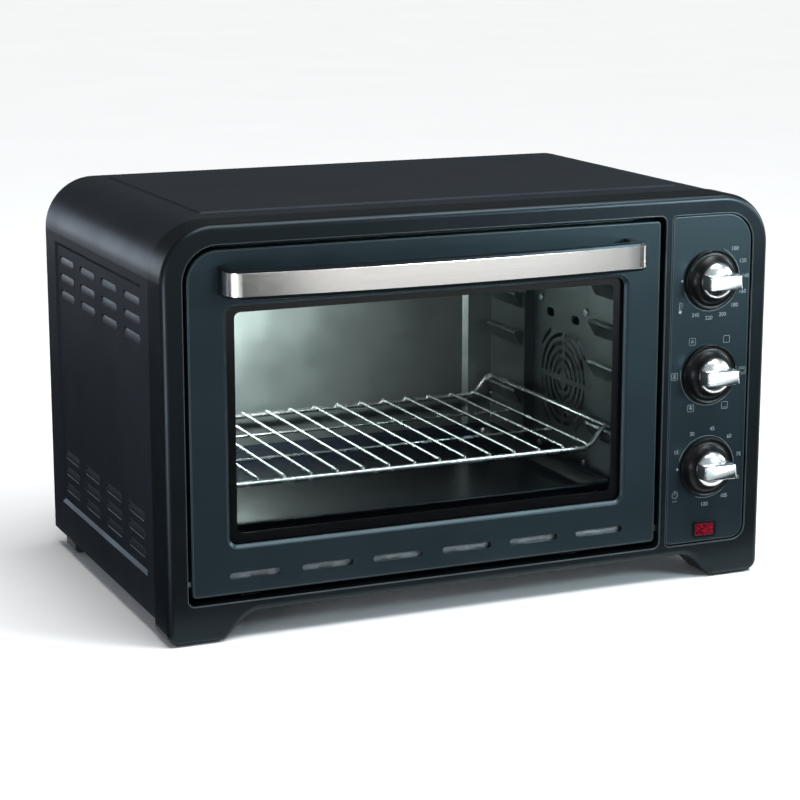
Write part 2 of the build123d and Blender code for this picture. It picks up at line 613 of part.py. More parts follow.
def fan_motor():
    """Shaded-pole motor: steel stack, coil and bearing bridge."""
    x = CAVITY_RIGHT + FAN_RECESS + SHEET + FAN_CUP_DEPTH + 0.4
    stack = side_prism(Pos(FAN_Y, FAN_Z) * RectangleRounded(52, 60, 3), x + 8, x + 24)
    bridge = block(x, x + 32, FAN_Y - 9, FAN_Y + 9, FAN_Z - 26, FAN_Z + 26)
    coil = side_prism(Pos(FAN_Y, FAN_Z - 26) * RectangleRounded(34, 20, 5), x + 2, x + 30)
    motor = stack + bridge + coil
    return motor - along_x(x - 1, x + 26, FAN_Y, FAN_Z, SHAFT_R + RUN_FIT)


def fan_shaft():
    """Motor shaft that carries the fan."""
    x = CAVITY_RIGHT + FAN_RECESS + SHEET
    return along_x(x + 4, x + FAN_CUP_DEPTH + 20, FAN_Y, FAN_Z, SHAFT_R)


def fan_blade():
    """Pressed radial fan wheel."""
    x = CAVITY_RIGHT + FAN_RECESS + SHEET + 5
    wheel = along_x(x + 9, x + 10, FAN_Y, FAN_Z, 44) + along_x(x, x + 10, FAN_Y, FAN_Z, 9)
    for i in range(8):
        vane = block(x, x + 10, -0.5, 0.5, 7, 46)
        wheel += Pos(0, FAN_Y, FAN_Z) * Rot(45 * i, 0, 0) * vane
    return wheel - along_x(x - 1, x + 12, FAN_Y, FAN_Z, SHAFT_R + RUN_FIT)


def rotisserie_motor():
    """Flat geared motor outside the left cavity wall."""
    x0 = CAVITY_LEFT - 30
    x1 = CAVITY_LEFT - 7
    body = along_x(x0, x1, SPIT_Y, SPIT_Z, 25)
    body += block(x0 + 18, x1, SPIT_Y - 35, SPIT_Y + 35, SPIT_Z - 9, SPIT_Z + 9)
    for s in (-1, 1):
        body += along_x(x1, CAVITY_LEFT - SHEET - FACE_GAP, SPIT_Y + s * 30, SPIT_Z, 4)
    return body - along_x(x1 - 18, x1 + 1, SPIT_Y, SPIT_Z, SOCKET_STEM_R + RUN_FIT)


def spit_drive_socket():
    """Turning socket that takes the square end of a spit."""
    side = SPIT_END + 0.4
    stem = along_x(CAVITY_LEFT - 23, CAVITY_LEFT - 5, SPIT_Y, SPIT_Z, SOCKET_STEM_R)
    head = along_x(CAVITY_LEFT - 5, CAVITY_LEFT + 10, SPIT_Y, SPIT_Z, SOCKET_R)
    head = chamfer(head.faces().sort_by(Axis.X)[-1].edges(), 1)
    hole = side_prism(Pos(SPIT_Y, SPIT_Z) * Rectangle(side, side), CAVITY_LEFT - 3, CAVITY_LEFT + 11)
    return stem + head - hole


# ---- rack and tray -------------------------------------------------------------------

def bent_wire(points, bends, radius):
    """A wire that follows points with rounded bends."""
    path = FilletPolyline(*points, radius=bends)
    start = Plane(origin=path @ 0, z_dir=path % 0)
    return sweep(start * Circle(radius), path)


def wire_rack():
    """Chromed wire rack: raised side rails, dropped grid of rods."""
    rail_z = RIB_LEVELS[0] + RACK_FRAME_R + GAP
    grid_z = rail_z - RACK_DROP
    side = CAVITY_HALF - 2 - RACK_FRAME_R
    bend = side - 5
    flat = bend - RACK_STEP
    rack = []
    for y in (RACK_FRONT, RACK_BACK - RACK_FRAME_R):
        points = [(DOOR_MID - side, y, rail_z), (DOOR_MID - bend, y, rail_z)]
        points += [(DOOR_MID - flat, y, grid_z), (DOOR_MID + flat, y, grid_z)]
        points += [(DOOR_MID + bend, y, rail_z), (DOOR_MID + side, y, rail_z)]
        rack.append(bent_wire(points, (2, 6, 6, 2), RACK_FRAME_R))
    for s in (-1, 1):
        x = DOOR_MID + s * side
        rack.append(along_y(RACK_FRONT - RACK_FRAME_R, RACK_BACK, x, rail_z, RACK_FRAME_R))
    rod_z = grid_z + RACK_ROD_R + 0.6
    half_count = (RACK_RODS - 1) // 2
    pitch = (flat - 2) / half_count
    for i in range(-half_count, half_count + 1):
        x = DOOR_MID + pitch * i
        rack.append(along_y(RACK_FRONT - RACK_ROD_R, RACK_BACK - 1, x, rod_z, RACK_ROD_R))
    cross_z = rod_z - 2 * RACK_ROD_R + 0.6
    for y in (RACK_FRONT + 72.5, RACK_BACK - 84):
        rack.append(along_x(DOOR_MID - flat - 3, DOOR_MID + flat + 3, y, cross_z, RACK_ROD_R))
    return rack[0].fuse(*rack[1:])


def drip_tray():
    """Enamelled tray that hangs by its rim on the lowest supports."""
    half = CAVITY_HALF - 3
    rim = TRAY_LEVEL + GAP
    y0 = CAVITY_FRONT + 3.5
    y1 = CAVITY_BACK - 6
    depth = 11.0
    wide = 2 * half - 24
    deep = y1 - y0 - 20
    face = Plane((DOOR_MID, (y0 + y1) / 2, rim), x_dir=(1, 0, 0), z_dir=(0, 0, -1))
    outer = extrude(face * RectangleRounded(wide, deep, 10), depth, taper=12)
    inner = extrude(face.offset(-2) * RectangleRounded(wide - 1.6, deep - 1.6, 9), depth + 1.2, taper=12)
    flange = extrude(face * RectangleRounded(2 * half, y1 - y0, 8), -SHEET)
    bead = block(DOOR_MID - half + 8, DOOR_MID + half - 8, y0, y0 + 1.6, rim, rim + 2.2)
    return outer + flange + bead - inner


# ---- door -----------------------------------------------------------------------------

WIN_LEFT = DOOR_LEFT + WINDOW_SIDE
WIN_RIGHT = DOOR_RIGHT - WINDOW_SIDE
WIN_BOTTOM = DOOR_BOTTOM + WINDOW_BELOW
WIN_TOP = DOOR_TOP - WINDOW_ABOVE
GLASS_Y = DOOR_FACE + DOOR_SKIN + WINDOW_LIP + FACE_GAP
FRAME_Y = GLASS_Y + MASK_T + GLASS_T


def door_outline(inset):
    """Door outline, with one large corner."""
    r = DOOR_CORNER - inset
    return plate(DOOR_LEFT + inset, DOOR_RIGHT - inset, DOOR_BOTTOM + inset, DOOR_TOP - inset, (r, 4, 4, 4))


def window(grow, r=WINDOW_R):
    """Window outline."""
    return plate(WIN_LEFT - grow, WIN_RIGHT + grow, WIN_BOTTOM - grow, WIN_TOP + grow, (r, r, r, r))


def door_outer_panel():
    """Pressed front skin of the door."""
    skin = front_prism(door_outline(0), DOOR_FACE, DOOR_FACE + 12)
    skin = fillet(skin.faces().sort_by(Axis.Y)[0].edges(), 1.2)
    hollow = front_prism(door_outline(DOOR_SKIN), DOOR_FACE + DOOR_SKIN, DOOR_FACE + 13)
    rim = front_prism(window(2.2, WINDOW_R + 2.2), DOOR_FACE, DOOR_FACE + DOOR_SKIN + WINDOW_LIP)
    skin = skin - (hollow - rim)
    skin -= front_prism(window(0), 0, 20)
    skin = chamfer(skin.faces().sort_by(Axis.Y)[0].inner_wires()[0].edges(), 1.3)
    vents = [Pos(DOOR_MID + VENT_PITCH * (i - (VENT_COUNT - 1) / 2), VENT_Z) for i in range(VENT_COUNT)]
    skin -= front_prism(Sketch() + [v * SlotOverall(VENT_LENGTH, VENT_HEIGHT) for v in vents], 0, 8)
    skin -= along_x(DOOR_LEFT - 2, DOOR_LEFT + 4, HINGE_Y, HINGE_Z, PIN_R + GAP)
    skin -= along_x(DOOR_RIGHT - 4, DOOR_RIGHT + 2, HINGE_Y, HINGE_Z, PIN_R + GAP)
    for s in (-1, 1):
        skin -= along_y(0, 6, DOOR_MID + s * HANDLE_SCREW_X, HANDLE_Z, 2 + GAP)
    return skin


def window_surround():
    """Black frame in front of the glass."""
    lap = GLASS_LAP - 1
    sides = (WIN_LEFT + MASK_SIDE, WIN_RIGHT - MASK_SIDE)
    clear = plate(*sides, WIN_BOTTOM + MASK_BELOW, WIN_TOP - MASK_ABOVE, (5, 5, 5, 5))
    return front_prism(window(lap, 6) - clear, GLASS_Y, GLASS_Y + MASK_T)


def door_glass():
    """Toughened glass pane."""
    return front_prism(window(GLASS_LAP, 6), GLASS_Y + MASK_T, FRAME_Y)


def door_inner_frame():
    """Inner steel frame that closes the door and clamps the glass."""
    low = DOOR_BOTTOM + 4
    edge = DOOR_SKIN + 0.2
    y0 = FRAME_Y
    corners = (DOOR_CORNER - edge, 4, 4, 4)
    outline = plate(DOOR_LEFT + edge, DOOR_RIGHT - edge, low, DOOR_TOP - edge, corners)
    sheet = front_prism(outline - window(-4, 6), y0, y0 + SHEET)
    raised = plate(DOOR_LEFT + 12, DOOR_RIGHT - 12, low + 12, DOOR_TOP - 12, (14, 6, 6, 6))
    ring = front_prism(raised - window(3, 6), y0, DOOR_BACK)
    inner = plate(DOOR_LEFT + 13, DOOR_RIGHT - 13, low + 13, DOOR_TOP - 13, (13, 5, 5, 5))
    ring -= front_prism(inner - window(4, 7), y0 - 1, DOOR_BACK - SHEET)
    sheet -= front_prism(inner - window(4, 7), y0 - 1, y0 + 2)
    frame = sheet + ring
    for s in (-1, 1):
        frame -= along_y(0, DOOR_BACK + 1, DOOR_MID + s * HANDLE_SCREW_X, HANDLE_Z, 2 + GAP)
    for x0 in (DOOR_LEFT, DOOR_RIGHT - 9.5):
        frame -= block(x0, x0 + 9.5, 0, DOOR_BACK + 1, 0, HINGE_Z + 8)
    return frame


def hinge_arms():
    """Two steel arms that carry the door on the hinge pins."""
    arms = []
    for x0 in (DOOR_LEFT + 3, DOOR_RIGHT - 5):
        arm = block(x0, x0 + 2, HINGE_Y - 5, FRAME_Y - FACE_GAP, HINGE_Z, HINGE_Z + 58)
        arm += along_x(x0, x0 + 2, HINGE_Y, HINGE_Z, PIN_R + 3)
        arm -= along_x(x0 - 1, x0 + 3, HINGE_Y, HINGE_Z, PIN_R + RUN_FIT)
        arms.append(arm)
    return arms


def hinge_pins():
    """Pins that the door turns on."""
    left = along_x(OPEN_LEFT - 9, DOOR_LEFT + 8, HINGE_Y, HINGE_Z, PIN_R)
    right = along_x(DOOR_RIGHT - 8, OPEN_RIGHT + 12, HINGE_Y, HINGE_Z, PIN_R)
    return [left, right]


def hinge_brackets():
    """Folded brackets from the front frame to the pins."""
    parts = []
    y1 = CAVITY_FRONT - FACE_GAP
    for x0, flange in ((OPEN_LEFT - 6.5, -1), (OPEN_RIGHT + 9.5, 1)):
        x1 = x0 + 2
        web = block(x0, x1, HINGE_Y - 4, y1, HINGE_Z - 10, HINGE_Z + 10)
        tab = sorted((x0 + 1, x0 + 1 - 8 * flange))
        web += block(*tab, y1 - 2, y1, HINGE_Z - 10, HINGE_Z + 10)
        parts.append(web - along_x(x0 - 1, x1 + 1, HINGE_Y, HINGE_Z, PIN_R + RUN_FIT))
    return parts


def bar_curve(half, reach, bow):
    """The handle's bowed line, seen from above."""
    return ThreePointArc((DOOR_MID - half, -reach), (DOOR_MID, -reach - bow), (DOOR_MID + half, -reach))


def bowed(half, reach, bow, thick, z0, z1):
    """A curved bar of even thickness."""
    front = bar_curve(half, reach, bow)
    back = bar_curve(half, reach - thick, bow)
    left = Line((DOOR_MID - half, -reach), (DOOR_MID - half, -reach + thick))
    right = Line((DOOR_MID + half, -reach), (DOOR_MID + half, -reach + thick))
    return extrude(Plane.XY.offset(z0) * make_face(front + back + left + right), z1 - z0)


def handle_plan():
    """The bar and its two feet, seen from above."""
    half = HANDLE_HALF
    end = half + 3
    root = end - HANDLE_FOOT
    back = HANDLE_END - HANDLE_T
    inner = half - 26
    front = bar_curve(half - 2, HANDLE_END, HANDLE_BOW)
    rear = bar_curve(inner, back, HANDLE_BOW)
    wire = front + rear
    points = [(half - 2, -HANDLE_END), (end, -HANDLE_END + 7), (end, DOOR_FACE)]
    points += [(root, DOOR_FACE), (inner, -back)]
    for s in (-1, 1):
        wire += Polyline(*[(DOOR_MID + s * x, y) for x, y in points])
    return make_face(wire)


def handle_body():
    """Black bar with two feet on the door."""
    z0 = HANDLE_Z - HANDLE_H / 2
    body = extrude(Plane.XY.offset(z0) * handle_plan(), HANDLE_H)
    for end in (0, -1):
        rim = body.faces().sort_by(Axis.Z)[end]
        body = chamfer(rim.edges(), 0.8)
    body -= recess_for_trim()
    for s in (-1, 1):
        body -= along_y(DOOR_FACE - 12, DOOR_FACE + 1, DOOR_MID + s * HANDLE_SCREW_X, HANDLE_Z, 1.6)
    return body


def recess_for_trim():
    """Pocket in the bar's face for the steel strip."""
    half = TRIM_H / 2 + 0.1
    reach = HANDLE_END + TRIM_T + 2
    return bowed(HANDLE_HALF - 4, reach, HANDLE_BOW, TRIM_T + 2, HANDLE_Z - half, HANDLE_Z + half)


def handle_trim():
    """Brushed steel strip on the bar's face."""
    half = TRIM_H / 2
    return bowed(HANDLE_HALF - 4, HANDLE_END + TRIM_T, HANDLE_BOW, TRIM_T, HANDLE_Z - half, HANDLE_Z + half)


def handle_screws():
    """Screws from inside the door into the handle's feet."""
    y = FRAME_Y + SHEET
    screws = []
    for s in (-1, 1):
        x = DOOR_MID + s * HANDLE_SCREW_X
        shank = along_y(DOOR_FACE - 10, y - 3, x, HANDLE_Z, 1.55) + along_y(y - 5, y - 3, x, HANDLE_Z, 4)
        screws.append(shank)
    return screws


# ---- knobs and switches --------------------------------------------------------------------

KNOB_CAP_SEAT = -8.0
BRACKET_Y = 14.0
BUSH_R = SHAFT_R + 2     # threaded bush round each spindle


def ring_of(points, z):
    """Turn a radius and depth outline about a knob's axis."""
    face = make_face(Polyline(*[(r, y) for r, y in points], close=True))
    return Pos(PANEL_MID, 0, z) * revolve(face, Axis.Y)


def knob_skirt(z):
    """Black dished skirt of a knob."""
    back = PANEL_FACE - KNOB_GAP
    bore = SHAFT_R + RUN_FIT
    shape = [(bore, back), (KNOB_R, back), (KNOB_R, -1.6), (KNOB_R - 1.2, -2.8), (KNOB_R - 2.6, -2.9)]
    shape += [(KNOB_CAP_R + 3.5, -1.2), (KNOB_CAP_R + 2, -4.5), (KNOB_CAP_R + 1.2, KNOB_CAP_SEAT)]
    shape += [(bore, KNOB_CAP_SEAT)]
    return ring_of(shape, z)


def knob_grip(z):
    """Metal cap with the bar that the fingers turn."""
    cap = [(0, KNOB_CAP_SEAT), (KNOB_CAP_R, KNOB_CAP_SEAT), (KNOB_CAP_R, -10.5)]
    cap += [(KNOB_CAP_R - 1.5, -13.2), (KNOB_CAP_R - 5, -15), (0, -16)]
    dome = ring_of(cap, z)
    bar = Pos(PANEL_MID, (-KNOB_REACH - 10) / 2, z) * Box(2 * KNOB_CAP_R, KNOB_REACH - 10, 11.5)
    bar = fillet(bar.faces().sort_by(Axis.Y)[0].edges(), 1.5)
    bar &= along_y(-KNOB_REACH - 1, 0, PANEL_MID, z, KNOB_CAP_R)
    return dome + bar - along_y(KNOB_CAP_SEAT - 4, KNOB_CAP_SEAT + 1, PANEL_MID, z, SHAFT_R + RUN_FIT)


def knob_shaft(z):
    """Spindle from the switch to the knob."""
    return along_y(KNOB_CAP_SEAT - 3.8, BRACKET_Y + 12, PANEL_MID, z, SHAFT_R)


def switch_body(z, width, height, depth):
    """Switch behind the bracket, with a threaded bush in front."""
    y = BRACKET_Y + SHEET + FACE_GAP
    body = block(PANEL_MID - width / 2, PANEL_MID + width / 2, y, y + depth, z - height / 2, z + height / 2)
    body = chamfer(body.edges().filter_by(Axis.Y), 3)
    body += along_y(BRACKET_Y - 7, y, PANEL_MID, z, BUSH_R)
    for s in (-1, 0, 1):
        x = PANEL_MID + s * 12
        body += block(x - 3, x + 3, y + depth, y + depth + 7, z - 0.4, z + 0.4)
    return body - along_y(0, BRACKET_Y + 14, PANEL_MID, z, SHAFT_R + RUN_FIT)


def control_bracket():
    """Steel bracket that carries the three switches."""
    y = BRACKET_Y
    sheet = block(PANEL_LEFT + 6, PANEL_RIGHT - 2, y, y + SHEET, 58, PANEL_TOP - 8)
    sheet += block(PANEL_RIGHT - 3, PANEL_RIGHT - 2, y, y + 9, 58, PANEL_TOP - 8)
    for z in KNOB_ZS:
        sheet -= along_y(y - 1, y + 2, PANEL_MID, z, BUSH_R + RUN_FIT)
    for z in (70, PANEL_TOP - 16):
        for x in (PANEL_LEFT + 14, PANEL_RIGHT - 12):
            sheet += along_y(PANEL_FACE + PANEL_T + FACE_GAP, y, x, z, 3)
    return sheet


def pilot_lens():
    """Red lens of the heating lamp."""
    lens = Pos(PANEL_MID, LAMP_Z) * RectangleRounded(LAMP_W, LAMP_H, 2.7)
    body = front_prism(lens, PANEL_FACE - 1, PANEL_FACE + PANEL_T + LENS_BEHIND)
    return fillet(body.faces().sort_by(Axis.Y)[0].edges(), 0.8)


def pilot_holder():
    """Lamp holder behind the lens."""
    back = PANEL_FACE + PANEL_T + LENS_BEHIND + FACE_GAP
    holder = block(PANEL_MID - 13, PANEL_MID + 13, back, back + 16, LAMP_Z - 8, LAMP_Z + 8)
    return holder - block(PANEL_MID - 8, PANEL_MID + 8, back - 1, back + 10, LAMP_Z - 4, LAMP_Z + 4)


# ---- mains inlet -----------------------------------------------------------------------------

def cord_inlet():
    """Gland in the back panel where a mains lead enters."""
    out = BACK_Y + SHEET
    gland = along_y(BACK_Y - 14, out + 8, CORD_X, CORD_Z, GLAND_R)
    gland += along_y(out + FACE_GAP, out + 3, CORD_X, CORD_Z, GLAND_R + 3)
    return gland - along_y(BACK_Y - 20, BACK_Y + 20, CORD_X, CORD_Z, CORD_R)


def terminal_block():
    """Three-way terminal block inside the back."""
    y = BODY_DEPTH - 40
    body = block(CORD_X - 25, CORD_X + 11, y, y + 14, BASE_Z + SHEET + FACE_GAP, 38)
    for i in range(3):
        body -= along_z(30, 40, CORD_X - 18 + 11 * i, y + 7, 2.2)
        body -= along_y(y - 1, y + 15, CORD_X - 18 + 11 * i, 26, 2)
    return body


# ---- all nodes --------------------------------------------------------------------------------

def all_nodes():
    """Every piece of the oven by node name."""
    nodes = {
        "outer_housing": outer_housing(),
        "rear_panel": rear_panel(),
        "rear_screws": rear_screws(),
        "base_plate": base_plate(),
        "front_bezel": front_bezel(),
        "control_panel": control_panel(),
        "rear_foot_left": rear_foot(-1),
        "rear_foot_right": rear_foot(1),
        "foot_pads": foot_pads(),
        "cavity_left_wall": cavity_left_wall(),
        "cavity_right_wall": cavity_right_wall(),
        "cavity_back_wall": cavity_back_wall(),
        "cavity_roof": level_sheet(CAVITY_ROOF),
        "cavity_floor": level_sheet(CAVITY_FLOOR - SHEET),
        "cavity_front_frame": cavity_front_frame(),
        "cavity_supports": cavity_supports(),
        "heater_insulators": heater_insulators(),
        "fan_housing": fan_housing(),
        "fan_screws": fan_screws(),
        "fan_motor": fan_motor(),
        "fan_shaft": fan_shaft(),
        "fan_blade": fan_blade(),
        "rotisserie_motor": rotisserie_motor(),
        "spit_drive_socket": spit_drive_socket(),
        "wire_rack": wire_rack(),
        "drip_tray": drip_tray(),
        "door_outer_panel": door_outer_panel(),
        "window_surround": window_surround(),
        "door_glass": door_glass(),
        "door_inner_frame": door_inner_frame(),
        "hinge_arms": hinge_arms(),
        "hinge_pins": hinge_pins(),
        "hinge_brackets": hinge_brackets(),
        "handle_body": handle_body(),
        "handle_trim": handle_trim(),
        "handle_screws": handle_screws(),
        "control_bracket": control_bracket(),
        "pilot_lens": pilot_lens(),
        "pilot_holder": pilot_holder(),
        "cord_inlet": cord_inlet(),
        "terminal_block": terminal_block(),
    }
    for name, z in (("upper", HEATER_TOP_Z), ("lower", HEATER_LOW_Z)):
        for place, y in zip(("front", "rear"), HEATER_YS):
            nodes[f"{name}_heater_{place}"] = heater(y, z)
    switches = (("thermostat", 38, 34, 26), ("mode_switch", 44, 44, 20), ("timer", 50, 50, 34))
    for (name, width, height, depth), z in zip(switches, KNOB_ZS):
        nodes[name] = switch_body(z, width, height, depth)
        nodes[f"{name}_shaft"] = knob_shaft(z)
        nodes[f"{name}_knob_skirt"] = knob_skirt(z)
        nodes[f"{name}_knob_grip"] = knob_grip(z)
    return nodes


os.makedirs("parts", exist_ok=True)
for node, shape in all_nodes().items():
    solids = shape if isinstance(shape, list) else [shape]
    placed = Compound(children=[Pos(0, FRONT_Y, 0) * s for solid in solids for s in solid.solids()])
    export_step(placed, f"parts/{node}.step")
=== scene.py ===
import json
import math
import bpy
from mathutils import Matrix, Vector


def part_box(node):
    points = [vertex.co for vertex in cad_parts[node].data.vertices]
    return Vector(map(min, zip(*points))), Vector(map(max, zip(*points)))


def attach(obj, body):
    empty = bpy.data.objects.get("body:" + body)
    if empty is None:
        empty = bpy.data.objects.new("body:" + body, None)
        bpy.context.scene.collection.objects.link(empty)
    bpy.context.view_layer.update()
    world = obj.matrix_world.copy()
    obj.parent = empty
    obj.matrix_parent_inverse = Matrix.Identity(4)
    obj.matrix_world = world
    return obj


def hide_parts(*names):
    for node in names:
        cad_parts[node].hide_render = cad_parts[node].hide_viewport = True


bl_info = {
    "name": "Rotisserie Oven",
    "version": (1, 0, 0),
    "blender": (4, 5, 0),
    "location": "View3D > Sidebar > Oven",
    "description": "Finishes and fine pieces of a countertop rotisserie oven, built on its packed frame",
    "category": "Object",
}

import bmesh
import bpy
from mathutils import Vector

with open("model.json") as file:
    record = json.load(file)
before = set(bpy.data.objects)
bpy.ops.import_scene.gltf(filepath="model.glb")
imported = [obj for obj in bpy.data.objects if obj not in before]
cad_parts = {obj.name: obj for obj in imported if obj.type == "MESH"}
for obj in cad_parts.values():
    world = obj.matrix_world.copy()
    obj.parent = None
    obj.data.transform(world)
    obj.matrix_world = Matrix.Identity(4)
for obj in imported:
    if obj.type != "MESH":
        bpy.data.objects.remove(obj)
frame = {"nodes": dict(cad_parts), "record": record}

MM = 0.001
SLOT_OF = {part["node"]: part["material_slot"] for part in frame["record"]["subparts"]}


def linear(code):
    """An sRGB hex colour as linear red, green and blue."""
    parts = [int(code[i : i + 2], 16) / 255 for i in (1, 3, 5)]
    return tuple(c / 12.92 if c <= 0.04045 else ((c + 0.055) / 1.055) ** 2.4 for c in parts)


# ---- what a user may change ---------------------------------------------------


def length(name, description, millimetres):
    """A length property, written in millimetres."""
    return bpy.props.FloatProperty(
        name=name, description=description, default=millimetres * MM, unit="LENGTH", precision=4
    )


def tint(name, description, code):
    """A colour property, written as sRGB hex."""
    return bpy.props.FloatVectorProperty(
        name=name, description=description, default=linear(code), subtype="COLOR", size=3, min=0, max=1
    )


class OvenSizes(bpy.types.PropertyGroup):
    """Sizes of the fine pieces that the frame does not hold."""

    louvre_pitch: length("Louvre pitch", "Between two louvres in a row", 66)
    louvre_row: length("Louvre rows", "Between two rows of louvres", 15.6)
    louvre_length: length("Louvre length", "End to end of one louvre", 46)
    louvre_height: length("Louvre height", "Height of one louvre", 7)
    louvre_depth: length("Louvre depth", "How deep a louvre is pressed in", 1.3)
    scale_radius: length("Scale radius", "Knob's axis to the middle of the numbers", 34.6)
    ring_radius: length("Ring radius", "Printed ring round each knob", 28.4)
    digit_size: length("Number size", "Type size of the printed numbers", 5.0)
    line_width: length("Line width", "Width of a printed line", 0.3)
    grip_height: length("Grip height", "Height of the bar on a knob", 12.6)
    grip_rib: length("Grip ribs", "Depth of the ribs on the bar's end", 0.5)
    rod_radius: length("Rod radius", "Wires of the rack's grid", 1.4)
    rail_radius: length("Rail radius", "Frame wires of the rack", 2.4)
    rod_lift: length("Rod lift", "Grid above the rack's front wire", 3.6)
    tray_wall: length("Tray wall", "Sheet thickness of the tray", 0.9)
    rods: bpy.props.IntProperty(name="Rods", description="Wires across the rack", default=15, min=3)


class OvenColours(bpy.types.PropertyGroup):
    """Base colours of the finishes."""

    casing: tint("Casing", "Coil-coated steel of the sides and top", "#1a1d21")
    front: tint("Front frame", "Moulded frame and handle", "#0c1012")
    door: tint("Door", "Coated steel of the door", "#172024")
    panel: tint("Panel", "Moulded control panel", "#121b1f")
    steel: tint("Cavity", "Aluminised steel of the cavity", "#5b6263")
    enamel: tint("Tray", "Enamel of the drip tray", "#0b0e15")
    strip: tint("Strip", "Brushed steel on the handle", "#f3eeea")
    chrome: tint("Chrome", "Plated knobs and wires", "#e8eaea")
    lamp: tint("Lamp", "Lens of the heating lamp", "#5c0a18")
    ink: tint("Ink", "Printed marks", "#7c8488")


class OvenStage(bpy.types.PropertyGroup):
    """Camera and light."""

    azimuth: bpy.props.FloatProperty(
        name="Azimuth", description="Camera's turn to the oven's left", default=math.radians(23.51), subtype="ANGLE"
    )
    elevation: bpy.props.FloatProperty(
        name="Elevation", description="Camera's height as an angle", default=math.radians(12.58), subtype="ANGLE"
    )
    distance: bpy.props.FloatProperty(
        name="Distance", description="Camera to the point it looks at", default=2.103, unit="LENGTH"
    )
    lens: bpy.props.FloatProperty(name="Lens", description="Focal length", default=103.95, unit="CAMERA")
    sky: bpy.props.FloatProperty(name="Sky", description="Strength of the even light from above", default=2.7)
    key: bpy.props.FloatProperty(name="Key light", description="Power of the large soft lights", default=15.0)
    fill: bpy.props.FloatProperty(name="Fill light", description="Power of the front light", default=2.2)
    inside: bpy.props.FloatProperty(name="Cavity light", description="Power of the light in the cavity", default=5.6)


# ---- mesh building --------------------------------------------------------------


def piece(name, bm, body, slot, sharp=30):
    """Turns a built mesh into an object that rides on a body and takes a slot's finish."""
    bmesh.ops.remove_doubles(bm, verts=bm.verts, dist=1e-6)
    bmesh.ops.recalc_face_normals(bm, faces=bm.faces)
    mesh = bpy.data.meshes.new(name)
    bm.to_mesh(mesh)
    bm.free()
    mesh.materials.append(finish_of(slot))
    mesh.shade_smooth()
    mesh.set_sharp_from_angle(angle=math.radians(sharp))
    made = bpy.data.objects.new(name, mesh)
    bpy.context.scene.collection.objects.link(made)
    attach(made, body)
    return made


def loft(bm, rings, cap_first=True, cap_last=True):
    """Skins a row of closed rings that have the same number of points."""
    rows = [[bm.verts.new(point) for point in ring] for ring in rings]
    count = len(rows[0])
    for near, far in zip(rows, rows[1:]):
        for i in range(count):
            j = (i + 1) % count
            bm.faces.new((near[i], near[j], far[j], far[i]))
    if cap_first:
        bm.faces.new(rows[0])
    if cap_last:
        bm.faces.new(list(reversed(rows[-1])))
    return rows


def outline(width, height, radius, steps=8):
    """Points of a rounded rectangle about the origin."""
    points = []
    for quarter, (sx, sy) in enumerate(((1, 1), (-1, 1), (-1, -1), (1, -1))):
        cx = sx * (width / 2 - radius)
        cy = sy * (height / 2 - radius)
        for step in range(steps + 1):
            angle = math.pi / 2 * (quarter + step / steps)
            points.append((cx + radius * math.cos(angle), cy + radius * math.sin(angle)))
    return points


def revolve(bm, profile, x, z, steps=96):
    """Turns a profile of (radius, y) about an axis along Y."""
    rings = []
    for radius, y in profile:
        ring = []
        for step in range(steps):
            angle = 2 * math.pi * step / steps
            ring.append((x + radius * math.cos(angle), y, z + radius * math.sin(angle)))
        rings.append(ring)
    loft(bm, rings)


def softened(points, radius, steps=5):
    """A path with each corner rounded by a short curve."""
    path = [Vector(points[0])]
    for before, corner, after in zip(points, points[1:], points[2:]):
        corner = Vector(corner)
        back = Vector(before) - corner
        ahead = Vector(after) - corner
        start = corner + back.normalized() * min(radius, back.length * 0.45)
        end = corner + ahead.normalized() * min(radius, ahead.length * 0.45)
        for step in range(steps + 1):
            t = step / steps
            path.append(start * (1 - t) ** 2 + corner * 2 * t * (1 - t) + end * t**2)
    path.append(Vector(points[-1]))
    return path


def wire(bm, path, radius, sides=12):
    """A round wire along a path, with domed ends."""
    heading = (path[1] - path[0]).normalized()
    across = heading.orthogonal().normalized()
    rings = []
    for i, point in enumerate(path):
        ahead = path[min(i + 1, len(path) - 1)] - path[max(i - 1, 0)]
        new_heading = ahead.normalized()
        across = (heading.rotation_difference(new_heading) @ across).normalized()
        heading = new_heading
        up = heading.cross(across)
        angles = [2 * math.pi * k / sides for k in range(sides)]
        spokes = [across * math.cos(a) + up * math.sin(a) for a in angles]
        if i == 0:
            rings.append([point - heading * radius * 0.5 + spoke * radius * 0.6 for spoke in spokes])
        rings.append([point + spoke * radius for spoke in spokes])
        if i == len(path) - 1:
            rings.append([point + heading * radius * 0.5 + spoke * radius * 0.6 for spoke in spokes])
    loft(bm, rings)


def front_loops(node):
    """Closed outlines of a node's flat front face, longest first, each with its outward directions."""
    holder = frame["nodes"][node]
    bm = bmesh.new()
    bm.from_mesh(holder.data)
    bm.transform(holder.matrix_world)
    bmesh.ops.remove_doubles(bm, verts=bm.verts, dist=1e-6)
    bm.normal_update()
    flat = [f for f in bm.faces if f.normal.y < -0.99]
    front = min(f.calc_center_median().y for f in flat)
    flat = {f for f in flat if f.calc_center_median().y < front + 0.2 * MM}
    rim = {}
    for edge in bm.edges:
        owners = [f for f in edge.link_faces if f in flat]
        if len(owners) == 1:
            loop = next(l for l in edge.link_loops if l.face is owners[0])
            rim[loop.vert] = loop.link_loop_next.vert
    loops = []
    while rim:
        vert = next(iter(rim))
        points = []
        while vert in rim:
            points.append(vert.co.copy())
            vert = rim.pop(vert)
        loops.append(points)
    bm.free()

    def way_round(points):
        return sum((a - b).length for a, b in zip(points, points[1:] + points[:1]))

    return sorted(loops, key=way_round, reverse=True)


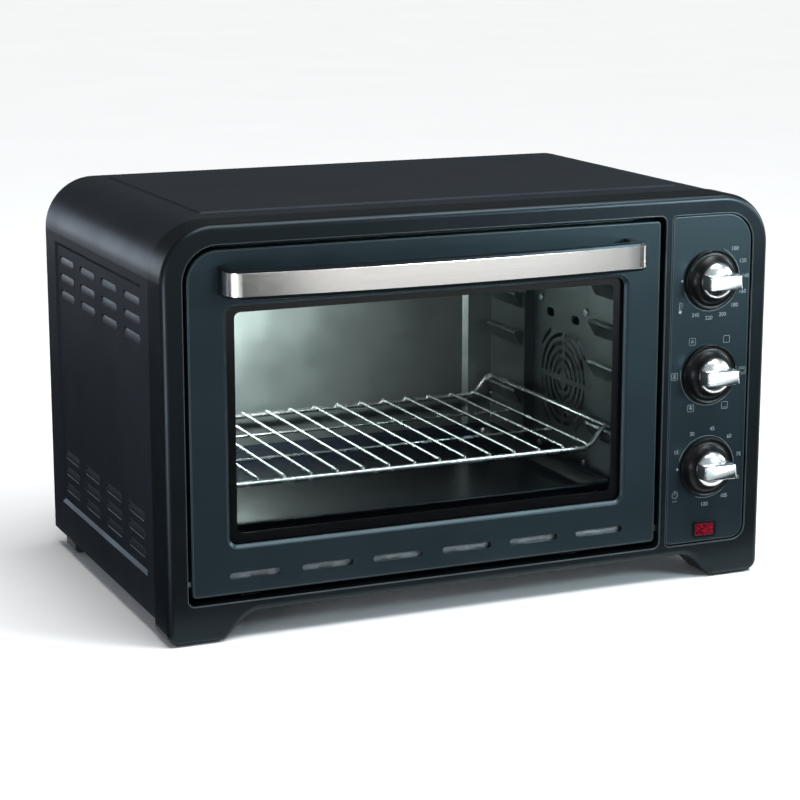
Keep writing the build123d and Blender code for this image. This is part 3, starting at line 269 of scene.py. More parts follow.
def rim_bead(name, node, which, body, slot, profile):
    """A fine rounded lip along one outline of a node's front face. The profile holds (away from the face, forward)."""
    points = front_loops(node)[which]
    count = len(points)
    sections = []
    for i, point in enumerate(points):
        before = (point - points[i - 1]).normalized()
        after = (points[(i + 1) % count] - point).normalized()
        along = before + after
        away = Vector((along.z, 0, -along.x)).normalized()
        spread_out = 1 / max(0.5, along.length / 2)
        section = []
        for out, ahead in profile:
            section.append(point + away * out * MM * spread_out + Vector((0, -ahead * MM, 0)))
        sections.append(section)
    bm = bmesh.new()
    rows = [[bm.verts.new(p) for p in section] for section in sections]
    for i in range(count):
        near, far = rows[i], rows[(i + 1) % count]
        for k in range(len(profile) - 1):
            bm.faces.new((near[k], near[k + 1], far[k + 1], far[k]))
    bead = piece(name, bm, body, slot, sharp=60)
    # Round lips take a lighter finish, a painted highlight along the edge, over their slot's own.
    if profile is ROUND_LIP:
        bead.data.materials[0] = finish_of("rubbed_edge")
    return bead


# Profiles in mm: (away from the outline, forward of the face).
ROUND_LIP = ((-0.9, -0.05), (-0.75, 0.03), (-0.35, 0.07), (0.0, -0.08), (0.18, -0.4), (0.22, -0.8), (0.0, -1.3))
WINDOW_SLOPE = ((-0.7, -0.05), (-0.5, 0.08), (-0.1, 0.08), (0.4, -0.15), (2.9, -2.3), (3.2, -2.8), (3.3, -3.6))


def finish_nodes(*names):
    """Gives CAD nodes the finish of their own slots."""
    for name in names:
        for holder in frame["nodes"][name].material_slots:
            holder.material = finish_of(SLOT_OF[name])


def middle(node):
    """Centre of a node's box."""
    low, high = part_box(node)
    return (low + high) / 2


# ---- finishes ------------------------------------------------------------------


def add(tree, kind, inputs=None, **settings):
    """Adds one node, with its settings, values and links."""
    made = tree.nodes.new(kind)
    for key, value in settings.items():
        setattr(made, key, value)
    for key, value in (inputs or {}).items():
        if isinstance(value, bpy.types.NodeSocket):
            tree.links.new(value, made.inputs[key])
        else:
            made.inputs[key].default_value = value
    return made


def begin(name, colour, roughness, metallic=0.0, **sockets):
    """A material with its principled shader, colour and gloss set."""
    material = bpy.data.materials.new(name)
    material.use_nodes = True
    tree = material.node_tree
    shader = tree.nodes["Principled BSDF"]
    shader.inputs["Base Color"].default_value = (*colour, 1)
    shader.inputs["Roughness"].default_value = roughness
    shader.inputs["Metallic"].default_value = metallic
    for key, value in sockets.items():
        shader.inputs[key.replace("_", " ")].default_value = value
    return material, tree, shader


def vary(tree, shader, tone=None, gloss=None, relief=None):
    """Lets patterns of real sizes change a finish's colour, gloss and surface.

    Each starts with its pattern: another node's output, or the (size in mm, detail) of a noise, which a third
    item may stretch. Then come, for tone, the share by which it lightens and darkens the colour; for gloss, the
    lowest and highest roughness; for relief, its depth in mm and its strength.
    """
    patterns = {}
    for pattern, *_ in filter(None, (tone, gloss, relief)):
        if isinstance(pattern, tuple) and pattern not in patterns:
            size_mm, detail, *stretch = pattern
            place = add(tree, "ShaderNodeTexCoord")
            inputs = {"Vector": place.outputs["Object"], "Scale": stretch[0] if stretch else (1, 1, 1)}
            scaled = add(tree, "ShaderNodeMapping", inputs)
            inputs = {"Vector": scaled.outputs["Vector"], "Scale": 1000 / size_mm, "Detail": detail}
            patterns[pattern] = add(tree, "ShaderNodeTexNoise", inputs).outputs["Fac"]
    usual = {"From Min": 0.3, "From Max": 0.7}  # where most of a noise's values lie
    if tone:
        pattern, share = tone
        colour = shader.inputs["Base Color"].default_value[:3]
        dark = (*[c * (1 - share) for c in colour], 1)
        light = (*[min(1, c * (1 + share)) for c in colour], 1)
        inputs = {"Value": patterns.get(pattern, pattern), **usual}
        ranged = add(tree, "ShaderNodeMapRange", inputs)
        mix = add(tree, "ShaderNodeMix", {0: ranged.outputs["Result"], 6: dark, 7: light}, data_type="RGBA")
        tree.links.new(mix.outputs[2], shader.inputs["Base Color"])
    if gloss:
        pattern, low, high = gloss
        inputs = {"Value": patterns.get(pattern, pattern), "To Min": low, "To Max": high, **usual}
        ranged = add(tree, "ShaderNodeMapRange", inputs)
        tree.links.new(ranged.outputs["Result"], shader.inputs["Roughness"])
    if relief:
        pattern, depth_mm, strength = relief
        inputs = {"Height": patterns.get(pattern, pattern), "Distance": depth_mm * MM, "Strength": strength}
        bump = add(tree, "ShaderNodeBump", inputs)
        tree.links.new(bump.outputs["Normal"], shader.inputs["Normal"])


def coil_coated_steel():
    """Coil-coated sheet steel: satin, with the soft peel of the lacquer and faint handling marks."""
    tint_of_gleam = (*linear("#cfe0fa"), 1)
    sockets = {"Specular_Tint": tint_of_gleam, "Specular_IOR_Level": 0.42}
    material, tree, shader = begin("coil_coated_steel", settings().casing, 0.4, **sockets)
    vary(tree, shader, tone=((90, 3), 0.08), gloss=((60, 5), 0.34, 0.42), relief=((2.2, 3), 0.03, 0.08))
    return material


def moulded_polymer():
    """Glass-filled nylon, moulded against a fine spark-eroded texture: even satin black."""
    tint_of_gleam = (*linear("#d2e8f6"), 1)
    sockets = {"Specular_Tint": tint_of_gleam, "Specular_IOR_Level": 0.27}
    material, tree, shader = begin("moulded_nylon", settings().front, 0.34, **sockets)
    vary(tree, shader, tone=((50, 3), 0.1), gloss=((35, 4), 0.3, 0.38), relief=((1.6, 2), 0.03, 0.1))
    return material


def powder_coated_door():
    """Powder-coated steel: smooth satin with slight orange peel."""
    tint_of_gleam = (*linear("#cdeaf6"), 1)
    sockets = {"Specular_Tint": tint_of_gleam, "Specular_IOR_Level": 0.42}
    material, tree, shader = begin("powder_coated_steel", settings().door, 0.36, **sockets)
    vary(tree, shader, tone=((120, 3), 0.08), gloss=((45, 5), 0.33, 0.41), relief=((2.6, 3), 0.03, 0.08))
    return material


def printed_panel():
    """Moulded ABS panel, painted satin before it is printed."""
    tint_of_gleam = (*linear("#cdeaf6"), 1)
    sockets = {"Specular_Tint": tint_of_gleam, "Specular_IOR_Level": 0.55}
    material, tree, shader = begin("painted_abs", settings().panel, 0.36, **sockets)
    vary(tree, shader, tone=((70, 3), 0.07), relief=((1.8, 2), 0.04, 0.14))
    return material


def galvanised_sheet():
    """Hot-dip galvanised sheet: dull zinc with a spangle of crystals, 8 mm across."""
    material, tree, shader = begin("galvanised_steel", linear("#a9adb0"), 0.42, metallic=1.0)
    place = add(tree, "ShaderNodeTexCoord")
    inputs = {"Vector": place.outputs["Object"], "Scale": 1000 / 8}
    spangle = add(tree, "ShaderNodeTexVoronoi", inputs)
    split = add(tree, "ShaderNodeSeparateColor", {"Color": spangle.outputs["Color"]})
    vary(tree, shader, tone=(split.outputs["Red"], 0.12), gloss=(split.outputs["Green"], 0.34, 0.5))
    return material


def aluminised_sheet():
    """Aluminised steel: pale, softly reflecting, a little clouded by rolling and heat."""
    material, tree, shader = begin("aluminised_steel", settings().steel, 0.36, metallic=0.85)
    vary(tree, shader, tone=((55, 5), 0.08), gloss=((40, 4), 0.3, 0.42))
    return material


def vitreous_enamel():
    """Vitreous enamel, fired on steel: deep gloss over a slightly wavy ground."""
    material, tree, shader = begin("vitreous_enamel", settings().enamel, 0.26, Specular_IOR_Level=0.2)
    vary(tree, shader, tone=((30, 3), 0.2), relief=((9, 2), 0.06, 0.2))
    return material


def chromed_wire():
    """Bright nickel-chrome plate on drawn wire."""
    material, tree, shader = begin("chrome_plated_wire", settings().chrome, 0.24, metallic=1.0)
    vary(tree, shader, gloss=((14, 4), 0.2, 0.3))
    return material


def heater_sheath():
    """Oxidised stainless sheath of a heating element: dull brown-grey with heat bands."""
    material, tree, shader = begin("oxidised_stainless", linear("#5b5550"), 0.5, metallic=0.7)
    vary(tree, shader, tone=((18, 3, (1, 0.4, 0.4)), 0.25), relief=((1.2, 3), 0.05, 0.2))
    return material


def steatite():
    """Unglazed steatite: chalky cream ceramic."""
    material, tree, shader = begin("steatite_ceramic", linear("#d8d2c2"), 0.7)
    vary(tree, shader, tone=((4, 3), 0.06), relief=((0.9, 3), 0.05, 0.3))
    return material


def float_glass():
    """Toughened float glass: clear, faintly green, with weak mirror images."""
    return begin("toughened_glass", linear("#e0e6e4"), 0.0, Transmission_Weight=1.0, IOR=1.5)[0]


def screen_print():
    """Black ceramic ink fired on glass: flat, glossy and opaque."""
    material, tree, shader = begin("fired_black_ink", linear("#0b0b0d"), 0.2)
    vary(tree, shader, tone=((20, 3), 0.2), relief=((3, 3), 0.01, 0.1))
    return material


def brushed_stainless():
    """Stainless strip with a brushed grain along its length, 0.4 mm wide, drawn at 0.8 mm to show."""
    material, tree, shader = begin("brushed_stainless", settings().strip, 0.18, metallic=1.0)
    grain = (0.8, 4, (0.01, 1, 1))
    vary(tree, shader, tone=(grain, 0.025), gloss=(grain, 0.15, 0.2), relief=(grain, 0.004, 0.05))
    return material


def glossy_abs():
    """Black ABS of the knob skirts, moulded in a lapped tool: a soft, even sheen."""
    material, tree, shader = begin("polished_abs", linear("#060708"), 0.36, Specular_IOR_Level=0.22)
    vary(tree, shader, tone=((30, 3), 0.15), gloss=((25, 3), 0.34, 0.38))
    return material


def satin_chrome():
    """Satin chrome plate on moulded ABS: bright, with a soft reflection."""
    material, tree, shader = begin("satin_chrome_plate", settings().chrome, 0.24, metallic=1.0)
    vary(tree, shader, tone=((16, 3), 0.02), gloss=((12, 3), 0.235, 0.25))
    return material


def zinc_plate():
    """Blue-passivated zinc plate of screws, pins and shafts."""
    material, tree, shader = begin("zinc_plated_steel", linear("#b6babd"), 0.32, metallic=1.0)
    vary(tree, shader, tone=((3, 3), 0.1), gloss=((2.5, 3), 0.26, 0.4))
    return material


def laminated_core():
    """Laminated motor core: dark oxide steel, sheets 0.5 mm thick, drawn at 1 mm to show."""
    material, tree, shader = begin("laminated_steel", linear("#4b4845"), 0.5, metallic=0.8)
    sheets = (1.0, 1, (1, 0.02, 0.02))
    vary(tree, shader, tone=(sheets, 0.3), relief=(sheets, 0.1, 0.4))
    return material


def pressed_aluminium():
    """Pressed aluminium sheet of the fan."""
    material, tree, shader = begin("pressed_aluminium", linear("#c9cbcc"), 0.34, metallic=1.0)
    vary(tree, shader, tone=((12, 3), 0.06), relief=((1.4, 3), 0.02, 0.15))
    return material


def phenolic():
    """Moulded phenolic of the switch bodies: matt, with flow marks."""
    material, tree, shader = begin("moulded_phenolic", linear("#8d7f66"), 0.55)
    vary(tree, shader, tone=((7, 5), 0.12), relief=((1.5, 3), 0.04, 0.2))
    return material


def ruby_polycarbonate():
    """Clear red polycarbonate with a prismatic back, 1.6 mm facets; its colour lightens and darkens across each facet
    as painted glints.
    """
    material, tree, shader = begin("red_polycarbonate", settings().lamp, 0.15, Specular_IOR_Level=0.3)
    place = add(tree, "ShaderNodeTexCoord")
    facets_and_glints = add(tree, "ShaderNodeTexVoronoi", {"Vector": place.outputs["Object"], "Scale": 1000 / 1.6})
    # The facets' pattern varies the colour as painted glints and bumps the surface as real relief.
    vary(tree, shader, tone=(facets_and_glints.outputs["Distance"], 0.6), relief=(facets_and_glints.outputs["Distance"], 0.3, 0.5))
    return material


def moulded_rubber():
    """Moulded nitrile rubber of the foot pads."""
    material, tree, shader = begin("nitrile_rubber", linear("#1d1d1d"), 0.8)
    vary(tree, shader, tone=((5, 3), 0.15), relief=((0.8, 3), 0.05, 0.3))
    return material


def rubbed_edge():
    """Satin paint on the round lips, coloured lighter than the flat beside it: a painted highlight along each edge."""
    material, tree, shader = begin("painted_highlight_satin_edge", linear("#2a3538"), 0.42, Specular_IOR_Level=0.6)
    vary(tree, shader, tone=((25, 3), 0.12))
    return material


def silver_ink():
    """Silver-grey pad-printing ink of the marks on the panel."""
    material, tree, shader = begin("silver_ink", settings().ink, 0.5)
    vary(tree, shader, tone=((2, 3), 0.06))
    return material


FINISHES = {
    "housing_paint": coil_coated_steel,
    "moulded_black": moulded_polymer,
    "door_paint": powder_coated_door,
    "panel_black": printed_panel,
    "galvanised": galvanised_sheet,
    "cavity_steel": aluminised_sheet,
    "tray_enamel": vitreous_enamel,
    "rack_chrome": chromed_wire,
    "heater_sheath": heater_sheath,
    "ceramic": steatite,
    "clear_glass": float_glass,
    "mask_black": screen_print,
    "brushed_trim": brushed_stainless,
    "knob_black": glossy_abs,
    "knob_chrome": satin_chrome,
    "steel_zinc": zinc_plate,
    "motor_parts": laminated_core,
    "fan_aluminium": pressed_aluminium,
    "switch_body": phenolic,
    "lens_red": ruby_polycarbonate,
    "rubber": moulded_rubber,
    # on top of a slot's own finish: a painted highlight for the round lips, and printed ink
    "rubbed_edge": rubbed_edge,
    "silver_ink": silver_ink,
}
made_finishes = {}


def settings():
    """Colours chosen in the panel."""
    return bpy.context.scene.oven_colours


def sizes():
    """Sizes chosen in the panel."""
    return bpy.context.scene.oven_sizes


def finish_of(slot):
    """The material of a slot or of a finish on top of one, made once."""
    if slot not in made_finishes:
        made_finishes[slot] = FINISHES[slot]()
    return made_finishes[slot]


# ---- casing ----------------------------------------------------------------------

CASING_NODES = (
    "outer_housing",
    "rear_panel",
    "base_plate",
    "rear_foot_left",
    "rear_foot_right",
    "foot_pads",
    "rear_screws",
    "cord_inlet",
    "terminal_block",
)


class OVEN_OT_casing(bpy.types.Operator):
    """Finish the sheet casing, its feet and its back"""

    bl_idname = "oven.casing"
    bl_label = "Casing"

    def execute(self, context):
        finish_nodes(*CASING_NODES)
        return {"FINISHED"}


def louvre(bm, side, face, y, z):
    """One pressed louvre: a raised lip, a short wall and a floor that slopes up to the slit."""
    size = sizes()
    height = size.louvre_height
    slope = size.louvre_depth / height

    def ring(grow, depth, sloping=False):
        points = []
        for u, v in outline(size.louvre_length + 2 * grow, height + 2 * grow, (height + 2 * grow) / 2 - 1e-5, 6):
            inward = depth + (slope * (v + height / 2) if sloping else 0)
            points.append((face - side * inward, y + u, z + v))
        return points

    rings = [ring(1.0 * MM, 0.05 * MM), ring(0.7 * MM, -0.25 * MM), ring(0.2 * MM, -0.25 * MM)]
    rings += [ring(-0.1 * MM, -0.05 * MM), ring(-0.3 * MM, 0.05 * MM, True), ring(-1.2 * MM, -0.1 * MM, True)]
    loft(bm, rings, cap_first=False)


class OVEN_OT_louvres(bpy.types.Operator):
    """Build the pressed louvres in both sides"""

    bl_idname = "oven.louvres"
    bl_label = "Side louvres"

    def execute(self, context):
        size = sizes()
        low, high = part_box("outer_housing")
        recess = 2 * MM
        first = low.y + 52.7 * MM
        tops = (high.z - 71 * MM, low.z + 79 * MM)
        for side, edge, name in ((-1, low.x, "left"), (1, high.x, "right")):
            bm = bmesh.new()
            face = edge - side * recess
            for column in range(4):
                for top in tops:
                    for row in range(3):
                        y = first + column * size.louvre_pitch
                        louvre(bm, side, face, y, top - row * size.louvre_row)
            piece(f"side_louvres_{name}", bm, "oven_body", "housing_paint")
        return {"FINISHED"}


# ---- front frame and door -----------------------------------------------------------


# The lens's frame in mm: how far outside the lens, how far ahead of it, and its corner radius.
LENS_FRAME = (
    (1.2, -0.9, 2.6),
    (1.2, 0.2, 2.6),
    (0.9, 0.5, 2.4),
    (-0.5, 0.5, 1.8),
    (-0.9, 0.2, 1.6),
    (-1.0, -0.1, 1.6),
)


class OVEN_OT_front(bpy.types.Operator):
    """Finish the moulded front frame, the panel and the lamp, and build the lens's frame and the lips, coloured lighter
    as a painted highlight
    """

    bl_idname = "oven.front"
    bl_label = "Front frame"

    def execute(self, context):
        finish_nodes("front_bezel", "control_panel", "pilot_lens", "pilot_holder", "control_bracket")
        low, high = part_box("pilot_lens")
        centre = (low + high) / 2
        bm = bmesh.new()
        rings = []
        for grow, ahead, radius in LENS_FRAME:
            flat = outline(high.x - low.x + 2 * grow * MM, high.z - low.z + 2 * grow * MM, radius * MM, 6)
            rings.append([(centre.x + u, low.y - ahead * MM, centre.z + v) for u, v in flat])
        loft(bm, rings, cap_first=False, cap_last=False)
        piece("lens_frame", bm, "oven_body", "knob_black")
        # These lips are coloured lighter than the frame and panel: a painted highlight along their edges.
        rim_bead("door_opening_lip", "front_bezel", 1, "oven_body", "moulded_black", ROUND_LIP)
        rim_bead("panel_opening_lip", "front_bezel", 2, "oven_body", "moulded_black", ROUND_LIP)
        rim_bead("panel_edge", "control_panel", 0, "oven_body", "panel_black", ROUND_LIP)
        return {"FINISHED"}


class OVEN_OT_door(bpy.types.Operator):
    """Finish the door and build its edges and the air deflector behind its slots"""

    bl_idname = "oven.door"
    bl_label = "Door"

    def execute(self, context):
        finish_nodes("door_outer_panel", "door_inner_frame", "door_glass", "window_surround")
        finish_nodes("hinge_arms", "hinge_pins", "hinge_brackets")
        frame["nodes"]["door_glass"].visible_shadow = False
        rim_bead("window_slope", "door_outer_panel", 1, "door", "door_paint", WINDOW_SLOPE)
        # The door's edge lip is coloured lighter than the door: a painted highlight along the edge.
        rim_bead("door_edge", "door_outer_panel", 0, "door", "door_paint", ROUND_LIP)
        low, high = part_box("door_outer_panel")
        bm = bmesh.new()
        z = low.z + 15.8 * MM
        y = low.y + 4.2 * MM
        half = 5.6 * MM
        section = [(0.0, -half), (0.0, -half * 0.3), (1.0 * MM, half * 0.7), (1.6 * MM, half)]
        section += [(2.2 * MM, half), (1.6 * MM, half * 0.6), (0.6 * MM, -half * 0.4), (0.6 * MM, -half)]
        rings = []
        for x in (low.x + 14 * MM, high.x - 14 * MM):
            rings.append([(x, y + depth, z + rise) for depth, rise in section])
        loft(bm, rings)
        piece("vent_deflector", bm, "door", "galvanised")
        return {"FINISHED"}


def bar_line(half, stand, bow, corner, foot, lean=0.0):
    """One side of the bar seen from above: up a foot, round a corner, along the bow and back down."""
    points = [(-half + lean, foot)]
    for step in range(13):
        angle = math.radians(180 + 84 * step / 12)
        points.append((-half + corner + corner * math.cos(angle), -stand + corner + corner * math.sin(angle)))
    reach = half - corner
    for step in range(1, 16):
        x = -reach + reach * step / 16
        points.append((x, -stand - bow * (1 - (x / reach) ** 2)))
    mirrored = [(-x, y) for x, y in reversed(points)]
    return points + [(0.0, -stand - bow)] + mirrored


def shifted(points, distance, closed=True):
    """The line moved sideways, to its right as it runs."""
    flat = [Vector(point) for point in points]
    moved = []
    for i, point in enumerate(flat):
        before = flat[i - 1] if closed or i else point
        after = flat[(i + 1) % len(flat)] if closed or i < len(flat) - 1 else point
        along = (after - before).normalized()
        moved.append(point + Vector((along.y, -along.x)) * distance)
    return moved


class OVEN_OT_handle(bpy.types.Operator):
    """Build the bowed handle and the steel strip that wraps round its ends"""

    bl_idname = "oven.handle"
    bl_label = "Handle"

    def execute(self, context):
        finish_nodes("handle_screws")
        low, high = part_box("handle_body")
        trim_low, trim_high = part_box("handle_trim")
        centre = middle("handle_body")
        half = (high.x - low.x) / 2
        bow = 9 * MM
        stand = high.y - trim_low.y - bow - 0.5 * MM
        outer = bar_line(half, stand, bow, 13 * MM, 0)
        inner = bar_line(half - 13 * MM, stand - 10 * MM, bow, 7 * MM, 0, -4 * MM)
        plan = outer + list(reversed(inner))
        edge = 1.1 * MM
        rings = []
        levels = [(0.0, edge), (0.3, edge * 0.3), (1.0, 0.0)]
        for share, inset in levels:
            z = low.z + edge * share
            rings.append([(centre.x + x, high.y + y, z) for x, y in shifted(plan, -inset)])
        for share, inset in reversed(levels):
            z = high.z - edge * share
            rings.append([(centre.x + x, high.y + y, z) for x, y in shifted(plan, -inset)])
        bm = bmesh.new()
        loft(bm, rings)
        bar = piece("handle_bar", bm, "door", "moulded_black")
        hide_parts("handle_body")
        wrap = bar_line(half, stand, bow, 13 * MM, -12 * MM)
        face = [shifted(wrap, out * MM, False) for out in (-0.4, 0.3, 0.5, 0.5, 0.3, -0.4)]
        tall = (trim_high.z - trim_low.z) / 2
        heights = (-tall, -tall, -tall + 0.3 * MM, tall - 0.3 * MM, tall, tall)
        bm = bmesh.new()
        sections = []
        for i in range(len(wrap)):
            section = [(centre.x + row[i].x, high.y + row[i].y, centre.z + z) for row, z in zip(face, heights)]
            sections.append(section)
        loft(bm, sections)
        strip = piece("handle_strip", bm, "door", "brushed_trim")
        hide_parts("handle_trim")
        return {"FINISHED"}


# ---- knobs and printed scales ----------------------------------------------------------

KNOBS = (("thermostat", "thermostat_knob"), ("mode_switch", "mode_knob"), ("timer", "timer_knob"))


def knob_cap(bm, x, z, seat, front, radius):
    """Plated cap: a shallow dome with a bar across it, ribbed at its pointing end."""
    size = sizes()
    rise = 7.5 * MM
    dome = [(1e-5, seat), (radius - 0.6 * MM, seat), (radius, seat - 0.6 * MM)]
    for step in range(9):
        angle = math.pi / 2 * step / 8
        dome.append((1e-5 + radius * math.cos(angle), seat - 1.2 * MM - rise * math.sin(angle)))
    revolve(bm, dome, x, z)
    half = size.grip_height / 2
    reach = radius - 0.3 * MM
    corner = 1.0 * MM
    shape = outline(2 * reach, 2 * half, corner, 6)
    rib_pitch = half * 2 / 7

    def ring(y, inset):
        points = []
        for u, v in shape:
            scale_u = (reach - inset) / reach
            scale_v = (half - inset) / half
            px = u * scale_u
            pz = v * scale_v
            lean = 0.9 * MM * (pz + half) / half if y < seat - 4 * MM else 0
            points.append((x + px, y + lean, z + pz))
        return points

    deep = seat - 3 * MM
    rings = [ring(deep, -0.3 * MM), ring(front + 6 * MM, -0.1 * MM), ring(front + 1.2 * MM, 0.05 * MM)]
    rings += [ring(front + 0.5 * MM, 0.3 * MM), ring(front + 0.1 * MM, 0.9 * MM)]
    loft(bm, rings)
    for i in range(6):
        rib_z = z - half + rib_pitch * (i + 1)
        back_end = Vector((x - reach + 0.1 * MM, seat - 6 * MM, rib_z))
        front_end = Vector((x - reach + 0.2 * MM, front + 2.4 * MM, rib_z))
        wire(bm, [back_end, front_end], size.grip_rib, 8)


def knob_skirt(bm, x, z, back, seat, radius, cap_radius):
    """Black skirt: a rolled rim, a dished face and a collar under the cap."""
    rim = 0.8 * MM
    profile = [(3.2 * MM, back), (radius, back), (radius, back - 2.2 * MM)]
    for step in range(1, 6):
        angle = math.pi * 0.8 * step / 5
        profile.append((radius - rim + rim * math.cos(angle), back - 2.2 * MM - rim * math.sin(angle)))
    inner = cap_radius + 0.9 * MM
    outer = radius - 2.0 * MM
    for step in range(1, 13):
        share = step / 12
        rise = (back - 2.4 * MM - seat) * share**2.6
        profile.append((outer + (inner - outer) * share, back - 2.4 * MM - rise))
    profile += [(inner - 0.5 * MM, seat - 0.02 * MM), (3.2 * MM, seat)]
    revolve(bm, profile, x, z)


class OVEN_OT_knobs(bpy.types.Operator):
    """Build the three knobs and finish their switches"""

    bl_idname = "oven.knobs"
    bl_label = "Knobs"

    def execute(self, context):
        for name, body in KNOBS:
            finish_nodes(name, f"{name}_shaft")
            low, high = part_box(f"{name}_knob_skirt")
            cap_low, cap_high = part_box(f"{name}_knob_grip")
            centre = (low + high) / 2
            radius = (high.x - low.x) / 2
            cap_radius = (cap_high.x - cap_low.x) / 2
            bm = bmesh.new()
            knob_skirt(bm, centre.x, centre.z, high.y, cap_high.y, radius, cap_radius)
            skirt = piece(f"{name}_skirt_turned", bm, body, "knob_black")
            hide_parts(f"{name}_knob_skirt")
            bm = bmesh.new()
            knob_cap(bm, centre.x, centre.z, cap_high.y, cap_low.y, cap_radius)
            cap = piece(f"{name}_cap_plated", bm, body, "knob_chrome")
            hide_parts(f"{name}_knob_grip")
        return {"FINISHED"}


class Print:
    """Ink on the panel face, drawn in the knob's own clock-face coordinates."""

    def __init__(self, x, z):
        self.bm = bmesh.new()
        self.x = x
        self.z = z
        self.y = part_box("control_panel")[0].y - 0.04 * MM

    def place(self, u, v):
        return (self.x + u, self.y, self.z + v)

    def stroke(self, points, closed=False):
        """A line of even width through points."""
        width = sizes().line_width / 2
        flat = [Vector(p) for p in points]
        count = len(flat)
        sides = []
        for i, point in enumerate(flat):
            before = flat[(i - 1) % count] if closed or i else point
            after = flat[(i + 1) % count] if closed or i < count - 1 else point
            along = (after - before).normalized()
            normal = Vector((-along.y, along.x)) * width
            sides.append([self.bm.verts.new(self.place(*(point + normal * s))) for s in (1, -1)])
        for i in range(count if closed else count - 1):
            j = (i + 1) % count
            self.bm.faces.new((sides[i][0], sides[i][1], sides[j][1], sides[j][0]))

    def arc(self, u, v, radius, start=0, stop=360):
        """An arc by clock angles in degrees."""
        steps = max(8, int(abs(stop - start) / 5))
        closed = stop - start >= 360
        points = []
        for step in range(steps if closed else steps + 1):
            angle = math.radians(start + (stop - start) * step / steps)
            points.append((u + radius * math.sin(angle), v + radius * math.cos(angle)))
        self.stroke(points, closed)

    def dot(self, u, v, radius):
        """A filled disc."""
        ring = [2 * math.pi * step / 20 for step in range(20)]
        verts = [self.bm.verts.new(self.place(u + radius * math.cos(a), v + radius * math.sin(a))) for a in ring]
        self.bm.faces.new(verts)

    def number(self, text, u, v):
        """A number centred on a point."""
        curve = bpy.data.curves.new("number", "FONT")
        curve.body = text
        curve.size = sizes().digit_size
        curve.align_x = "CENTER"
        curve.align_y = "CENTER"
        curve.resolution_u = 3
        holder = bpy.data.objects.new("number", curve)
        mesh = bpy.data.meshes.new_from_object(holder)
        for vert in mesh.vertices:
            vert.co = self.place(u + vert.co.x, v + vert.co.y)
        self.bm.from_mesh(mesh)
        bpy.data.meshes.remove(mesh)
        bpy.data.objects.remove(holder)
        bpy.data.curves.remove(curve)

    def finish(self, name):
        """Makes the print a piece of the panel."""
        for face in self.bm.faces:
            face.normal_update()
            if face.normal.y > 0:
                face.normal_flip()
        mesh = bpy.data.meshes.new(name)
        self.bm.to_mesh(mesh)
        self.bm.free()
        mesh.materials.append(finish_of("silver_ink"))
        made = bpy.data.objects.new(name, mesh)
        bpy.context.scene.collection.objects.link(made)
        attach(made, "oven_body")


def on_clock(radius, degrees):
    """A point by its radius and clock angle."""
    angle = math.radians(degrees)
    return radius * math.sin(angle), radius * math.cos(angle)


def thermostat_scale(ink):
    """Temperatures from 100 to 240 and a thermometer."""
    size = sizes()
    for i, value in enumerate(range(100, 241, 20)):
        ink.number(str(value), *on_clock(size.scale_radius, 42 + 23.4 * i))
    u, v = -30.5 * MM, -24 * MM
    ink.dot(u, v - 3.4 * MM, 1.5 * MM)
    ink.stroke([(u - 0.8 * MM, v - 2.4 * MM), (u - 0.8 * MM, v + 4 * MM)])
    ink.stroke([(u + 0.8 * MM, v - 2.4 * MM), (u + 0.8 * MM, v + 4 * MM)])
    ink.arc(u, v + 4 * MM, 0.8 * MM, -90, 90)
    for rise in (0.5, 2.2, 3.9):
        ink.stroke([(u + 1.6 * MM, v + rise * MM), (u + 3.0 * MM, v + rise * MM)])


def mode_scale(ink):
    """Six small pictures of the heating modes."""
    size = sizes()
    side = 3.1 * MM
    for i in range(6):
        u, v = on_clock(size.scale_radius, 30 + 60 * i)
        corners = [(u + a, v + b) for a, b in outline(2 * side, 2 * side, 0.8 * MM, 3)]
        ink.stroke(corners, closed=True)
        if i in (1, 3, 4):
            ink.stroke([(u - side * 0.6, v + side * 0.55), (u + side * 0.6, v + side * 0.55)])
        if i in (1, 2, 4):
            ink.stroke([(u - side * 0.6, v - side * 0.55), (u + side * 0.6, v - side * 0.55)])
        if i in (3, 4, 5):
            for turn in (0, 120, 240):
                ink.arc(u + on_clock(side * 0.22, turn)[0], v + on_clock(side * 0.22, turn)[1], side * 0.22)


def timer_scale(ink):
    """Minutes from 15 to 120 and a stopwatch."""
    size = sizes()
    for i, clock in enumerate((297, 334, 9, 42, 76, 112, 146, 181)):
        ink.number(str(15 * (i + 1)), *on_clock(size.scale_radius, clock))
    u, v = -31.1 * MM, -23.6 * MM
    ink.arc(u, v, 2.7 * MM)
    ink.stroke([(u, v), (u, v + 1.7 * MM)])
    ink.stroke([(u, v + 2.7 * MM), (u, v + 3.9 * MM)])
    ink.stroke([(u - 1 * MM, v + 3.9 * MM), (u + 1 * MM, v + 3.9 * MM)])
    ink.stroke([(u + 2.0 * MM, v + 2.1 * MM), (u + 2.9 * MM, v + 3.0 * MM)])
    ink.stroke([(u - 2.4 * MM, v - 5.6 * MM), (u + 2.4 * MM, v - 5.6 * MM)])


class OVEN_OT_scales(bpy.types.Operator):
    """Print the scale round each knob"""

    bl_idname = "oven.scales"
    bl_label = "Printed scales"

    def execute(self, context):
        size = sizes()
        scales = ((thermostat_scale, (25, 250)), (mode_scale, (80, 280)), (timer_scale, (-75, 200)))
        for (name, _), (draw, sweep) in zip(KNOBS, scales):
            centre = middle(f"{name}_knob_skirt")
            ink = Print(centre.x, centre.z)
            draw(ink)
            ink.arc(0, 0, size.ring_radius, *sweep)
            if name != "mode_switch":
                ink.dot(-size.ring_radius - 0.8 * MM, 0, 1.0 * MM)
            ink.finish(f"{name}_scale")
        return {"FINISHED"}


# ---- cavity ---------------------------------------------------------------------------

